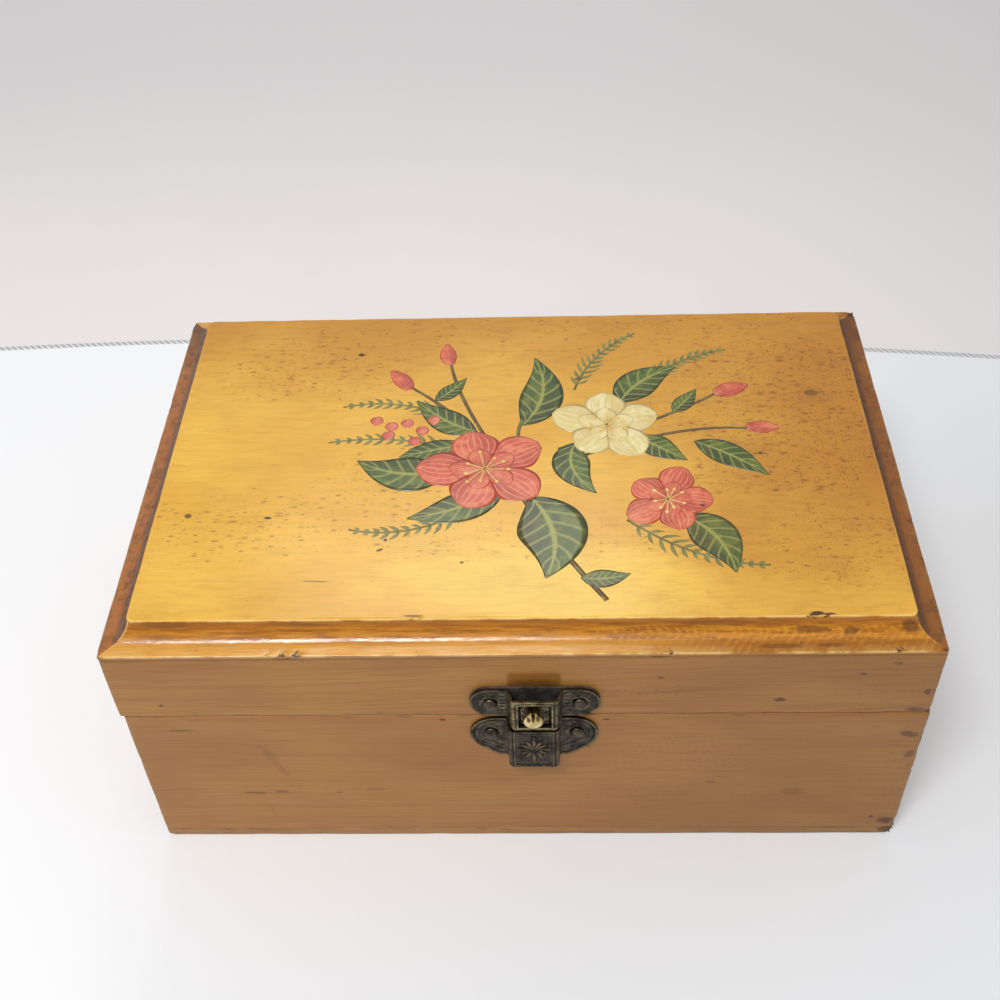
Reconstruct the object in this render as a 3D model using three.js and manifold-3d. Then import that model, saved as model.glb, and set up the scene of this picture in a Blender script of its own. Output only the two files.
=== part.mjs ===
// A small wooden sewing box: a glued case, a lid with a moulded top, two butt hinges and a snap catch.
// Millimetres. +X is right, +Y is back and +Z is up; the origin is the middle of the case's underside.
import * as THREE from "three";
import { mergeVertices } from "three/addons/utils/BufferGeometryUtils.js";
import Module from "manifold-3d";

const wasm = await Module();
wasm.setup();

// Case
const caseWidth = 165;
const caseDepth = 108;
const seamHeight = 45.5; // the line where lid and case meet
const wallThickness = 6;
const bottomThickness = 2.5;
const rabbetLip = 2; // what the front and back boards keep over the ends of the side boards
const cornerRadius = 0.8;

// Lid
const lidExtraWidth = 0.5; // the lid is a little wider than the case
const lidShift = -0.5; // and sits a little to the left of it
const rimRise = 19.7; // from the seam to the rim of the lid's top panel
const railThickness = 6;
const panelEdge = 0.9; // the panel's upright edge, below its rim
const landWidth = 3; // the flat step that runs round the panel
const coveWidth = 2.5;
const coveHeight = 4.3;
const coveHollow = 0.55; // how far the cove dips under a straight chamfer

// Clearances
const glueLine = 0.1;
const seamGap = 0.2;
const fitGap = 0.1; // let-in metal to wood, and a fixed pin to its hole
const runningGap = 0.3; // between pieces that move past each other
const overrun = 1; // how far a cutter runs past what it cuts

// Butt hinges
const hingeLength = 18;
const hingeFromEnd = 30; // from the end of the case to the middle of a hinge
const pivotInset = 1.2; // from the back of the box to the hinge pin
const lidStopAngle = 100; // degrees, where the two bevels at the back meet
const knuckleRadius = 1.6;
const knuckleCount = 3;
const hingePinRadius = 0.6;
const leafThickness = 0.8;
const leafShoulder = 0.8; // the wood left between a leaf and the inside of the box
const leafNailSpacing = 10;
const leafNailHeadRadius = 0.9;
const leafNailRadius = 0.45;
const leafNailLength = 5;

// Snap catch, both halves
const catchCentre = 2.5; // right of the middle of the case
const catchProjection = 4.1; // from the wood to the face of the catch
const catchSheet = 0.5;
const catchPinRadius = 0.6;
const catchPinHeadRadius = 1.45;
const catchPinHeadHeight = 0.75;
const catchPinLength = 5;

// Bridge, on the lid
const bridgeWidth = 9.5;
const bridgeSplay = 0.9; // how much wider each side is at the wood than at the face
const bridgeBend = 0.6; // radius of the middle of the sheet in a bend
const bridgeHeight = 9.1;
const bridgeRise = 0.6; // its lower edge, above the seam
const bridgeCorner = 1.1;
const bridgeEarSpan = 26.3;
const bridgeEarHeight = 8.3;
const bridgeEarRise = 1.4;
const bridgePinSpacing = 18;
const bridgePinRise = 5.4;
const windowWidth = 6.7;
const windowHeight = 7.2;
const windowSill = 0.7;
const windowCorner = 0.4;
const backplateThickness = 0.4;

// Housing, on the case
const housingShift = -0.3; // left of the bridge's middle
const housingWidth = 10.4;
const housingSplay = 0.25;
const housingBend = 1;
const housingHeight = 12.8;
const housingDrop = 0.2; // its open top, below the seam
const housingCorner = 1.6;
const scallopCount = 4;
const scallopDepth = 0.35;
const housingEarSpan = 26.3;
const housingEarHeight = 12.6;
const housingPinSpacing = 17.7;
const housingPinDrop = 5.1;
const petalCount = 12;
const petalReach = 3.1;
const petalWidth = 0.62;
const petalGap = 0.25; // between a petal and the rosette's middle
const rosetteRingRadius = 0.8;
const rosetteDrop = 5.9; // the rosette's middle, below the housing's top
const reliefHeight = 0.22;
const reliefRidge = 0.35;

// Spring tongue and its knob
const tongueSheet = 0.4;
const tongueWidth = 7.4;
const tongueGap = 0.25; // behind the bridge's frame
const tongueTopGap = 0.1; // below the top of the window
const tongueFootRadius = 0.45;
const knobRadius = 2.05;
const knobProud = 2.4; // in front of the bridge's face
const knobNeckRadius = 1.5;
const knobShankRadius = 0.8;
const knobShift = -0.3; // left of the window's middle
const knobRise = 5.3; // above the seam
const knobNotchWidth = 0.95;

// Smoothness
const roundSides = 24;
const smallSides = 16;
const bendSteps = 4;
const coveSteps = 8;
const curveSteps = 5;

// Places worked out from the sizes above
const lidWidth = caseWidth + lidExtraWidth;
const caseTop = seamHeight - seamGap / 2;
const lidBase = seamHeight + seamGap / 2;
const rimHeight = seamHeight + rimRise;
const panelBase = rimHeight - panelEdge;
const pivotY = caseDepth / 2 - pivotInset;
const bevelSlope = Math.tan(THREE.MathUtils.degToRad(lidStopAngle / 2));
const leafDepth = wallThickness - pivotInset - leafShoulder;
const frontFace = -caseDepth / 2;
const housingCentre = catchCentre + housingShift;
const housingTop = seamHeight - housingDrop;
const housingBase = housingTop - housingHeight;
const bridgeBase = seamHeight + bridgeRise;
const windowBase = bridgeBase + windowSill;
const frameInside = frontFace - catchProjection + catchSheet; // the inner side of bridge and housing
const tongueFront = frameInside + tongueGap;
const tonguePivotY = frameInside + fitGap + tongueFootRadius;
const tonguePivotZ = housingBase + catchSheet + fitGap + tongueFootRadius;
const tongueTop = windowBase + windowHeight - tongueTopGap;
const knobX = catchCentre + knobShift;
const knobZ = seamHeight + knobRise;
const knobBase = tongueFront - fitGap; // the back of the knob, on the tongue
const knobHeight = knobBase - (frontFace - catchProjection - knobProud);

const finishes = {
  caseWood: new THREE.MeshStandardMaterial({ color: 0xa0774a, roughness: 0.5, metalness: 0 }),
  lidWood: new THREE.MeshStandardMaterial({ color: 0xa57b4b, roughness: 0.45, metalness: 0 }),
  panelWood: new THREE.MeshStandardMaterial({ color: 0xdcab58, roughness: 0.3, metalness: 0 }),
  bottomWood: new THREE.MeshStandardMaterial({ color: 0x936f49, roughness: 0.6, metalness: 0 }),
  darkMetal: new THREE.MeshStandardMaterial({ color: 0x46403a, roughness: 0.45, metalness: 0.9 }),
  brass: new THREE.MeshStandardMaterial({ color: 0xb59a5a, roughness: 0.35, metalness: 1 }),
  steel: new THREE.MeshStandardMaterial({ color: 0x77736c, roughness: 0.4, metalness: 1 }),
};

const box = new THREE.Group();
box.name = "sewing_box";
const caseGroup = new THREE.Group();
const lidGroup = new THREE.Group(); // turns about the hinge pins
lidGroup.position.set(0, pivotY, seamHeight);
const tongueGroup = new THREE.Group(); // turns about its foot
tongueGroup.position.set(0, tonguePivotY, tonguePivotZ);
box.add(caseGroup, lidGroup, tongueGroup);

// Solids

// A closed geometry as a solid that can be cut and joined.
function solidOf(geometry) {
  const plain = geometry.index ? geometry.toNonIndexed() : geometry.clone();
  plain.deleteAttribute("normal");
  plain.deleteAttribute("uv");
  const merged = mergeVertices(plain);
  const corners = merged.index.array;
  const kept = [];
  for (let i = 0; i < corners.length; i += 3) {
    const [a, b, c] = [corners[i], corners[i + 1], corners[i + 2]];
    if (a !== b && b !== c && c !== a) kept.push(a, b, c);
  }
  return new wasm.Manifold(
    new wasm.Mesh({
      numProp: 3,
      vertProperties: merged.attributes.position.array,
      triVerts: new Uint32Array(kept),
    }),
  );
}

function geometryOf(solid) {
  const mesh = solid.getMesh();
  const geometry = new THREE.BufferGeometry();
  geometry.setAttribute("position", new THREE.BufferAttribute(mesh.vertProperties, mesh.numProp));
  geometry.setIndex(new THREE.BufferAttribute(mesh.triVerts, 1));
  const flat = geometry.toNonIndexed();
  flat.computeVertexNormals();
  return flat;
}

function cut(geometry, cutters) {
  return geometryOf(cutters.reduce((left, cutter) => left.subtract(solidOf(cutter)), solidOf(geometry)));
}

function join(geometries) {
  const [first, ...others] = geometries.map(solidOf);
  return geometryOf(others.reduce((sum, more) => sum.add(more), first));
}

function common(geometry, limits) {
  return geometryOf(limits.reduce((left, limit) => left.intersect(solidOf(limit)), solidOf(geometry)));
}

// Forms

function block(x0, x1, y0, y1, z0, z1) {
  const box = new THREE.BoxGeometry(x1 - x0, y1 - y0, z1 - z0);
  return box.translate((x0 + x1) / 2, (y0 + y1) / 2, (z0 + z1) / 2);
}

// A plan outline, in X and Y, raised from z0 to z1.
function raised(shape, z0, z1) {
  const settings = { depth: z1 - z0, bevelEnabled: false, curveSegments: curveSteps };
  return new THREE.ExtrudeGeometry(shape, settings).translate(0, 0, z0);
}

// A front outline, in X and Z, carried back from y0 to y1.
function carriedBack(shape, y0, y1) {
  const settings = { depth: y1 - y0, bevelEnabled: false, curveSegments: curveSteps };
  return new THREE.ExtrudeGeometry(shape, settings).rotateX(Math.PI / 2).translate(0, y1, 0);
}

// A side outline, in Y and Z, carried across from x0 to x1.
function carriedAcross(points, x0, x1) {
  const shape = new THREE.Shape(points.map(([y, z]) => new THREE.Vector2(y, z)));
  return new THREE.ExtrudeGeometry(shape, { depth: x1 - x0, bevelEnabled: false })
    .rotateX(Math.PI / 2)
    .rotateZ(Math.PI / 2)
    .translate(x0, 0, 0);
}

// A turned piece on the Z axis, from a profile of [radius, height] that starts and ends on the axis.
function turned(profile, sides) {
  return new THREE.LatheGeometry(
    profile.map(([radius, height]) => new THREE.Vector2(radius, height)),
    sides,
  ).rotateX(Math.PI / 2);
}

function rod(radius, z0, z1, sides) {
  const profile = [
    [0, z0],
    [radius, z0],
    [radius, z1],
    [0, z1],
  ];
  return turned(profile, sides);
}

function alongX(geometry) {
  return geometry.rotateY(Math.PI / 2);
}

// From the Z axis to one that points out of the front of the box.
function facingFront(geometry) {
  return geometry.rotateX(Math.PI / 2);
}

function place(group, name, geometry, finish) {
  const { x, y, z } = group.position;
  const piece = new THREE.Mesh(geometry.translate(-x, -y, -z), finish);
  piece.name = name;
  group.add(piece);
}

// Case and lid carcass

// The plan of a front board: ends rabbeted to take the side boards, and rounded outer corners.
function rabbetedPlan(width, depth, thickness) {
  const end = width / 2;
  const outer = -depth / 2;
  const shoulder = end - thickness - glueLine;
  const plan = new THREE.Shape();
  plan.moveTo(-end + cornerRadius, outer);
  plan.lineTo(end - cornerRadius, outer);
  plan.absarc(end - cornerRadius, outer + cornerRadius, cornerRadius, -Math.PI / 2, 0, false);
  plan.lineTo(end, outer + rabbetLip);
  plan.lineTo(shoulder, outer + rabbetLip);
  plan.lineTo(shoulder, outer + thickness);
  plan.lineTo(-shoulder, outer + thickness);
  plan.lineTo(-shoulder, outer + rabbetLip);
  plan.lineTo(-end, outer + rabbetLip);
  plan.lineTo(-end, outer + cornerRadius);
  plan.absarc(-end + cornerRadius, outer + cornerRadius, cornerRadius, Math.PI, Math.PI * 1.5, false);
  return plan;
}

// The four boards of a box side, from z0 to z1, with the cutters that the front and back boards take.
function frameBoards(width, thickness, z0, z1, frontCutters, backCutters) {
  const plan = rabbetedPlan(width, caseDepth, thickness);
  const reach = caseDepth / 2 - rabbetLip - glueLine;
  return {
    front: cut(raised(plan, z0, z1), frontCutters),
    back: cut(raised(plan, z0, z1).rotateZ(Math.PI), backCutters),
    left: block(-width / 2, -width / 2 + thickness, -reach, reach, z0, z1),
    right: block(width / 2 - thickness, width / 2, -reach, reach, z0, z1),
  };
}

// The wedge that bevels a rear edge: below the seam for the case (side -1), above it for the lid (side 1).
function rearBevel(side) {
  const edge = seamHeight + (side * seamGap) / 2;
  const back = caseDepth / 2 + overrun;
  const outline = [
    [pivotY, edge - side * overrun],
    [pivotY, edge],
    [back, edge + side * (back - pivotY) * bevelSlope],
    [back, edge - side * overrun],
  ];
  const half = lidWidth / 2 + Math.abs(lidShift) + overrun;
  return carriedAcross(side > 0 ? outline : outline.reverse(), -half, half);
}

// Hinges

const hingeCentres = { left: -caseWidth / 2 + hingeFromEnd, right: caseWidth / 2 - hingeFromEnd };
const knuckleLength = (hingeLength - runningGap * (knuckleCount - 1)) / knuckleCount;
const leafNailXs = [-leafNailSpacing / 2, leafNailSpacing / 2];
const leafNailY = pivotY - (knuckleRadius + leafDepth) / 2;
const leafNailSink = leafNailHeadRadius - leafNailRadius;

// Where knuckle number i runs along X, from the middle of the hinge.
function knuckleSpan(i) {
  const start = -hingeLength / 2 + i * (knuckleLength + runningGap);
  return [start, start + knuckleLength];
}

function knuckleCylinder(i, radius, extra) {
  const [start, end] = knuckleSpan(i);
  return alongX(rod(radius, start - extra, end + extra, roundSides)).translate(0, pivotY, seamHeight);
}

// The outline of a countersunk nail, or of its hole when the clearance isn't zero, head down from z = 0.
function nailProfile(clearance, length) {
  return [
    [0, -length],
    [leafNailRadius + clearance, -length],
    [leafNailRadius + clearance, -leafNailSink],
    [leafNailHeadRadius + clearance, 0],
    [0, 0],
  ];
}

function nailHole(topZ, length) {
  const neck = rod(leafNailRadius + fitGap, -length, overrun, smallSides);
  const sink = turned(nailProfile(fitGap, length), smallSides);
  return join([sink, neck]).translate(0, leafNailY, topZ);
}

// A leaf of the case side, flush with the case's top, with every second knuckle from the first given.
function hingeLeaf(firstKnuckle) {
  const top = caseTop;
  const half = hingeLength / 2;
  const plate = block(-half, half, pivotY - leafDepth, pivotY, top - leafThickness, top);
  const own = [];
  const other = [];
  for (let i = 0; i < knuckleCount; i += 1) {
    const isOwn = i % 2 === firstKnuckle;
    if (isOwn) own.push(knuckleCylinder(i, knuckleRadius, 0));
    else other.push(knuckleCylinder(i, knuckleRadius + runningGap, runningGap));
  }
  const bore = alongX(
    rod(hingePinRadius + fitGap, -hingeLength / 2 - overrun, hingeLength / 2 + overrun, roundSides),
  ).translate(0, pivotY, seamHeight);
  const holes = leafNailXs.map((x) => nailHole(top, leafThickness + overrun).translate(x, 0, 0));
  return cut(join([cut(plate, other), ...own]), [bore, ...holes]);
}

// What a hinge takes out of its board: the leaf's seat, the knuckles' trough and two nail holes.
function hingeRecess(side, x) {
  const half = hingeLength / 2 + fitGap;
  const edge = seamHeight + (side * seamGap) / 2;
  const floor = edge + side * (leafThickness + fitGap);
  const mouth = edge - side * overrun;
  const levels = [Math.min(floor, mouth), Math.max(floor, mouth)];
  const seat = block(-half, half, pivotY - leafDepth - fitGap, pivotY, ...levels);
  const troughHalf = hingeLength / 2 + runningGap;
  const trough = alongX(rod(knuckleRadius + runningGap, -troughHalf, troughHalf, roundSides)).translate(
    0,
    pivotY,
    seamHeight,
  );
  const holeDepth = leafNailLength + fitGap;
  const holes = leafNailXs.map((nailX) => {
    const z0 = side > 0 ? edge : edge - holeDepth;
    return rod(leafNailRadius + fitGap, z0, z0 + holeDepth, smallSides).translate(nailX, leafNailY, 0);
  });
  return [seat, trough, ...holes].map((cutter) => cutter.translate(x, 0, 0));
}

// Turns a piece of the case's side of a hinge over, about the hinge pin's middle, for the lid.
function turnedOver(geometry) {
  return geometry.translate(0, 0, -seamHeight).rotateY(Math.PI).translate(0, 0, seamHeight);
}

function addHinge(sideName, x) {
  const pin = alongX(rod(hingePinRadius, -hingeLength / 2, hingeLength / 2, roundSides));
  const caseLeaf = hingeLeaf(0).translate(x, 0, 0);
  const lidLeaf = turnedOver(hingeLeaf(1)).translate(x, 0, 0);
  place(caseGroup, `hinge_${sideName}_case_leaf`, caseLeaf, finishes.brass);
  place(caseGroup, `hinge_${sideName}_pin`, pin.translate(x, pivotY, seamHeight), finishes.steel);
  place(lidGroup, `hinge_${sideName}_lid_leaf`, lidLeaf, finishes.brass);
  leafNailXs.forEach((nailX, i) => {
    const nail = () => turned(nailProfile(0, leafNailLength), smallSides).translate(0, leafNailY, caseTop);
    const inCase = nail().translate(x + nailX, 0, 0);
    const inLid = turnedOver(nail()).translate(x + nailX, 0, 0);
    place(caseGroup, `hinge_${sideName}_case_nail_${i + 1}`, inCase, finishes.brass);
    place(lidGroup, `hinge_${sideName}_lid_nail_${i + 1}`, inLid, finishes.brass);
  });
}

// Lid panel

// The panel's moulded edge, from underside to field, as [inset from the rim, height above the rim].
function mouldingProfile() {
  const chord = new THREE.Vector2(coveWidth, coveHeight);
  const half = chord.length() / 2;
  const radius = (half * half + coveHollow * coveHollow) / (2 * coveHollow);
  const sweep = Math.asin(half / radius);
  const downhill = new THREE.Vector2(chord.y, -chord.x).normalize(); // square to the chord, into the wood
  const middle = chord.clone().multiplyScalar(0.5);
  const centre = middle.clone().addScaledVector(downhill, coveHollow - radius);
  const profile = [
    [0, -panelEdge],
    [0, 0],
  ];
  for (let i = 0; i <= coveSteps; i += 1) {
    const angle = downhill.angle() - sweep + (2 * sweep * i) / coveSteps;
    const x = centre.x + radius * Math.cos(angle);
    const y = centre.y + radius * Math.sin(angle);
    profile.push([landWidth + x, y]);
  }
  return profile;
}

// A panel whose edge follows a profile on all four sides, mitred at the corners.
function mitredPanel(width, depth, profile) {
  const corners = [
    [-1, -1],
    [1, -1],
    [1, 1],
    [-1, 1],
  ];
  const positions = profile.flatMap(([inset, height]) =>
    corners.flatMap(([sx, sy]) => [sx * (width / 2 - inset), sy * (depth / 2 - inset), height]),
  );
  const count = corners.length;
  const faces = [0, 2, 1, 0, 3, 2];
  for (let ring = 0; ring < profile.length - 1; ring += 1) {
    for (let i = 0; i < count; i += 1) {
      const next = (i + 1) % count;
      const [a, b] = [ring * count + i, ring * count + next];
      const [c, d] = [a + count, b + count];
      faces.push(a, b, d, a, d, c);
    }
  }
  const last = (profile.length - 1) * count;
  faces.push(last, last + 1, last + 2, last, last + 2, last + 3);
  const geometry = new THREE.BufferGeometry();
  geometry.setAttribute("position", new THREE.Float32BufferAttribute(positions, 3));
  geometry.setIndex(faces);
  return geometryOf(solidOf(geometry));
}

// Stamped sheet

// The section of a bent sheet: a middle line, bent round at each inner point, as thick as the sheet.
function sheetSection(line, thickness, bend) {
  const points = line.map(([x, y]) => new THREE.Vector2(x, y));
  const path = [];
  const leftOf = (direction) => new THREE.Vector2(-direction.y, direction.x);
  const addStep = (at, direction) => path.push({ at, normal: leftOf(direction) });
  const heading = (i) => points[i + 1].clone().sub(points[i]).normalize();
  addStep(points[0], heading(0));
  for (let i = 1; i < points.length - 1; i += 1) {
    const [into, out] = [heading(i - 1), heading(i)];
    const turn = Math.atan2(into.cross(out), into.dot(out));
    const tangent = bend * Math.tan(Math.abs(turn) / 2);
    const start = points[i].clone().addScaledVector(into, -tangent);
    const centre = start.clone().addScaledVector(leftOf(into), Math.sign(turn) * bend);
    for (let step = 0; step <= bendSteps; step += 1) {
      const angle = (turn * step) / bendSteps;
      const direction = into.clone().rotateAround(new THREE.Vector2(), angle);
      addStep(start.clone().rotateAround(centre, angle), direction);
    }
  }
  addStep(points[points.length - 1], heading(points.length - 2));
  const offset = (out) => path.map(({ at, normal }) => at.clone().addScaledVector(normal, out));
  return new THREE.Shape([...offset(-thickness / 2), ...offset(thickness / 2).reverse()]);
}

// The plan of a catch half: ears flat on the wood, splayed cheeks, and a face out by the projection.
function channelSection(faceWidth, span, earBack, splay, bend) {
  const ear = frontFace - earBack - catchSheet / 2;
  const face = frontFace - catchProjection + catchSheet / 2;
  const half = faceWidth / 2 - catchSheet / 2;
  const line = [
    [-span / 2 - overrun, ear],
    [-half - splay, ear],
    [-half, face],
    [half, face],
    [half + splay, ear],
    [span / 2 + overrun, ear],
  ];
  return sheetSection(line, catchSheet, bend);
}

// Half an ear's outline, foot to top, as shares of its reach past the cheek and of its height.
const bridgeEarShares = [
  [0.42, 0],
  [0.7, 0.07],
  [0.91, 0.25],
  [1, 0.5],
  [0.93, 0.76],
  [0.74, 0.94],
  [0.5, 1],
];
const housingEarShares = [
  [0.16, 0],
  [0.33, 0.03],
  [0.55, 0.16],
  [0.8, 0.27],
  [0.95, 0.42],
  [1, 0.6],
  [0.92, 0.79],
  [0.68, 0.94],
  [0.36, 1],
];

// A front outline with an ear on each side, from z = 0 at the ears' foot.
function earsOutline(shares, innerHalf, span, height) {
  const right = shares.map(([u, v]) => [innerHalf + u * (span / 2 - innerHalf), v * height]);
  const left = right.map(([x, z]) => [-x, z]).reverse();
  const points = (list) => list.map(([x, z]) => new THREE.Vector2(x, z));
  const outline = new THREE.Shape();
  outline.moveTo(...right[0]);
  outline.splineThru(points(right.slice(1)));
  outline.lineTo(...left[0]);
  outline.splineThru(points(left.slice(1)));
  return outline;
}

// A rectangle on z = 0 with rounded lower corners, and rounded upper ones where a radius is given.
function roundedOutline(width, height, lowerRadius, upperRadius) {
  const half = width / 2;
  const outline = new THREE.Shape();
  outline.moveTo(-half + lowerRadius, 0);
  outline.lineTo(half - lowerRadius, 0);
  outline.absarc(half - lowerRadius, lowerRadius, lowerRadius, -Math.PI / 2, 0, false);
  outline.lineTo(half, height - upperRadius);
  const shoulder = height - upperRadius;
  if (upperRadius > 0) outline.absarc(half - upperRadius, shoulder, upperRadius, 0, Math.PI / 2, false);
  outline.lineTo(-half + upperRadius, height);
  if (upperRadius > 0)
    outline.absarc(-half + upperRadius, shoulder, upperRadius, Math.PI / 2, Math.PI, false);
  outline.lineTo(-half, lowerRadius);
  outline.absarc(-half + lowerRadius, lowerRadius, lowerRadius, Math.PI, Math.PI * 1.5, false);
  return outline;
}

// A solid from just inside the wood to well in front of the catch, with this front outline.
function frontLimit(outline, baseZ) {
  const front = frontFace - catchProjection - overrun;
  return carriedBack(outline, front, frontFace + overrun).translate(0, 0, baseZ);
}

function pinHoles(spacing, z) {
  const ends = [-catchPinLength - fitGap, overrun + catchSheet * 2];
  const drill = () => facingFront(rod(catchPinRadius + fitGap, ...ends, smallSides));
  return [-spacing / 2, spacing / 2].map((x) => drill().translate(x, frontFace, z));
}

// A round-headed pin through a sheet whose front lies this far out of the wood.
function catchPin(x, z, seat) {
  const profile = [
    [0, -catchPinLength],
    [catchPinRadius, -catchPinLength],
    [catchPinRadius, seat],
    [catchPinHeadRadius, seat],
  ];
  for (let i = 1; i <= curveSteps; i += 1) {
    const angle = (Math.PI / 2) * (i / curveSteps);
    const radius = i === curveSteps ? 0 : catchPinHeadRadius * Math.cos(angle);
    profile.push([radius, seat + catchPinHeadHeight * Math.sin(angle)]);
  }
  return facingFront(turned(profile, smallSides)).translate(x, frontFace, z);
}

const bridgePinZ = seamHeight + bridgePinRise;
const housingPinZ = seamHeight - housingPinDrop;
const bridgeEarBack = fitGap + backplateThickness + fitGap; // the bridge's ears lie on the backplate
const housingEarBack = fitGap;

function bridgePlate() {
  const top = seamHeight + Math.max(bridgeRise + bridgeHeight, bridgeEarRise + bridgeEarHeight) + overrun;
  const section = channelSection(bridgeWidth, bridgeEarSpan, bridgeEarBack, bridgeSplay, bridgeBend);
  const strip = raised(section, seamHeight, top);
  const cheekFoot = bridgeWidth / 2 + bridgeSplay;
  const earsLimit = frontLimit(
    earsOutline(bridgeEarShares, cheekFoot, bridgeEarSpan, bridgeEarHeight),
    seamHeight + bridgeEarRise,
  );
  const middleLimit = frontLimit(roundedOutline(bridgeWidth, bridgeHeight, bridgeCorner, 0), bridgeBase);
  const between = bridgeWidth / 2 - catchSheet / 2;
  const farFront = frontFace - catchProjection - 2 * overrun;
  const cheeksApart = block(-between, between, farFront, frontFace + 2 * overrun, seamHeight, top);
  const shell = common(strip, [join([cut(earsLimit, [cheeksApart]), middleLimit])]);
  const windowOutline = roundedOutline(windowWidth, windowHeight, windowCorner, windowCorner);
  const window = frontLimit(windowOutline, windowBase);
  return cut(shell, [window, ...pinHoles(bridgePinSpacing, bridgePinZ)]).translate(catchCentre, 0, 0);
}

// The flat sheet behind the bridge, held by the same pins.
function backplate() {
  const cheekFoot = bridgeWidth / 2 + bridgeSplay;
  const outline = earsOutline(bridgeEarShares, cheekFoot, bridgeEarSpan, bridgeEarHeight);
  const front = frontFace - fitGap - backplateThickness;
  const sheet = carriedBack(outline, front, frontFace - fitGap);
  sheet.translate(0, 0, seamHeight + bridgeEarRise);
  return cut(sheet, pinHoles(bridgePinSpacing, bridgePinZ)).translate(catchCentre, 0, 0);
}

// The housing's front outline: straight sides, and a scalloped foot between rounded corners.
function scallopedOutline() {
  const half = housingWidth / 2;
  const run = (housingWidth - 2 * housingCorner) / scallopCount;
  const outline = new THREE.Shape();
  outline.moveTo(-half + housingCorner, scallopDepth);
  for (let i = 0; i < scallopCount; i += 1) {
    const start = -half + housingCorner + i * run;
    outline.quadraticCurveTo(start + run / 2, -scallopDepth, start + run, scallopDepth);
  }
  const cornerZ = housingCorner + scallopDepth;
  outline.absarc(half - housingCorner, cornerZ, housingCorner, -Math.PI / 2, 0, false);
  outline.lineTo(half, housingHeight);
  outline.lineTo(-half, housingHeight);
  outline.lineTo(-half, cornerZ);
  outline.absarc(-half + housingCorner, cornerZ, housingCorner, Math.PI, Math.PI * 1.5, false);
  return outline;
}

// The raised rosette and side ridges on the housing's face.
function housingRelief() {
  const face = frontFace - catchProjection;
  const middleZ = housingTop - rosetteDrop;
  const onFace = (outline) => carriedBack(outline, face - reliefHeight, face + catchSheet / 2);
  const relief = [];
  for (let i = 0; i < petalCount; i += 1) {
    const angle = (2 * Math.PI * i) / petalCount;
    const length = petalReach - rosetteRingRadius - petalGap;
    const petal = new THREE.Shape();
    petal.absellipse(petalReach - length / 2, 0, length / 2, petalWidth / 2, 0, Math.PI * 2, false);
    relief.push(onFace(petal).rotateY(angle).translate(0, 0, middleZ));
  }
  const ring = new THREE.Shape();
  ring.absarc(0, 0, rosetteRingRadius, 0, Math.PI * 2, false);
  relief.push(onFace(ring).translate(0, 0, middleZ));
  const ridgeX = housingWidth / 2 - housingBend - reliefRidge;
  [-1, 1].forEach((side) => {
    const ends = [side * ridgeX - reliefRidge / 2, side * ridgeX + reliefRidge / 2];
    const ridgeFoot = housingBase + housingCorner + scallopDepth;
    relief.push(block(...ends, face - reliefHeight, face + catchSheet / 2, ridgeFoot, housingTop));
  });
  return relief;
}

function housingPlate() {
  const section = channelSection(housingWidth, housingEarSpan, housingEarBack, housingSplay, housingBend);
  const strip = raised(section, housingBase - overrun, housingTop);
  const cheekFoot = housingWidth / 2 + housingSplay;
  const ears = frontLimit(
    earsOutline(housingEarShares, cheekFoot, housingEarSpan, housingEarHeight),
    housingTop - housingEarHeight,
  );
  const middle = frontLimit(scallopedOutline(), housingBase - scallopDepth / 2);
  const half = housingWidth / 2 - catchSheet / 2;
  const face = frontFace - catchProjection + catchSheet / 2;
  const back = frontFace - housingEarBack;
  const floorPlan = new THREE.Shape([
    new THREE.Vector2(-half + housingBend, face),
    new THREE.Vector2(half - housingBend, face),
    new THREE.Vector2(half, face + housingBend),
    new THREE.Vector2(half + housingSplay / 2, (face + back) / 2),
    new THREE.Vector2(half + housingSplay / 2, back),
    new THREE.Vector2(-half - housingSplay / 2, back),
    new THREE.Vector2(-half - housingSplay / 2, (face + back) / 2),
    new THREE.Vector2(-half, face + housingBend),
  ]);
  const floor = raised(floorPlan, housingBase, housingBase + catchSheet);
  const shell = common(join([strip, floor]), [join([ears, middle])]);
  const pressed = join([shell, ...housingRelief()]);
  return cut(pressed, pinHoles(housingPinSpacing, housingPinZ)).translate(housingCentre, 0, 0);
}

// Tongue and knob

function springTongue() {
  const half = tongueWidth / 2;
  const blade = block(-half, half, tongueFront, tongueFront + tongueSheet, tonguePivotZ, tongueTop);
  const foot = alongX(rod(tongueFootRadius, -half, half, smallSides));
  foot.translate(0, tonguePivotY, tonguePivotZ);
  const shankHole = facingFront(
    rod(knobShankRadius + fitGap, -tongueSheet - overrun, overrun, smallSides),
  ).translate(knobShift, tongueFront, knobZ);
  return cut(join([blade, foot]), [shankHole]).translate(catchCentre, 0, 0);
}

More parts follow.
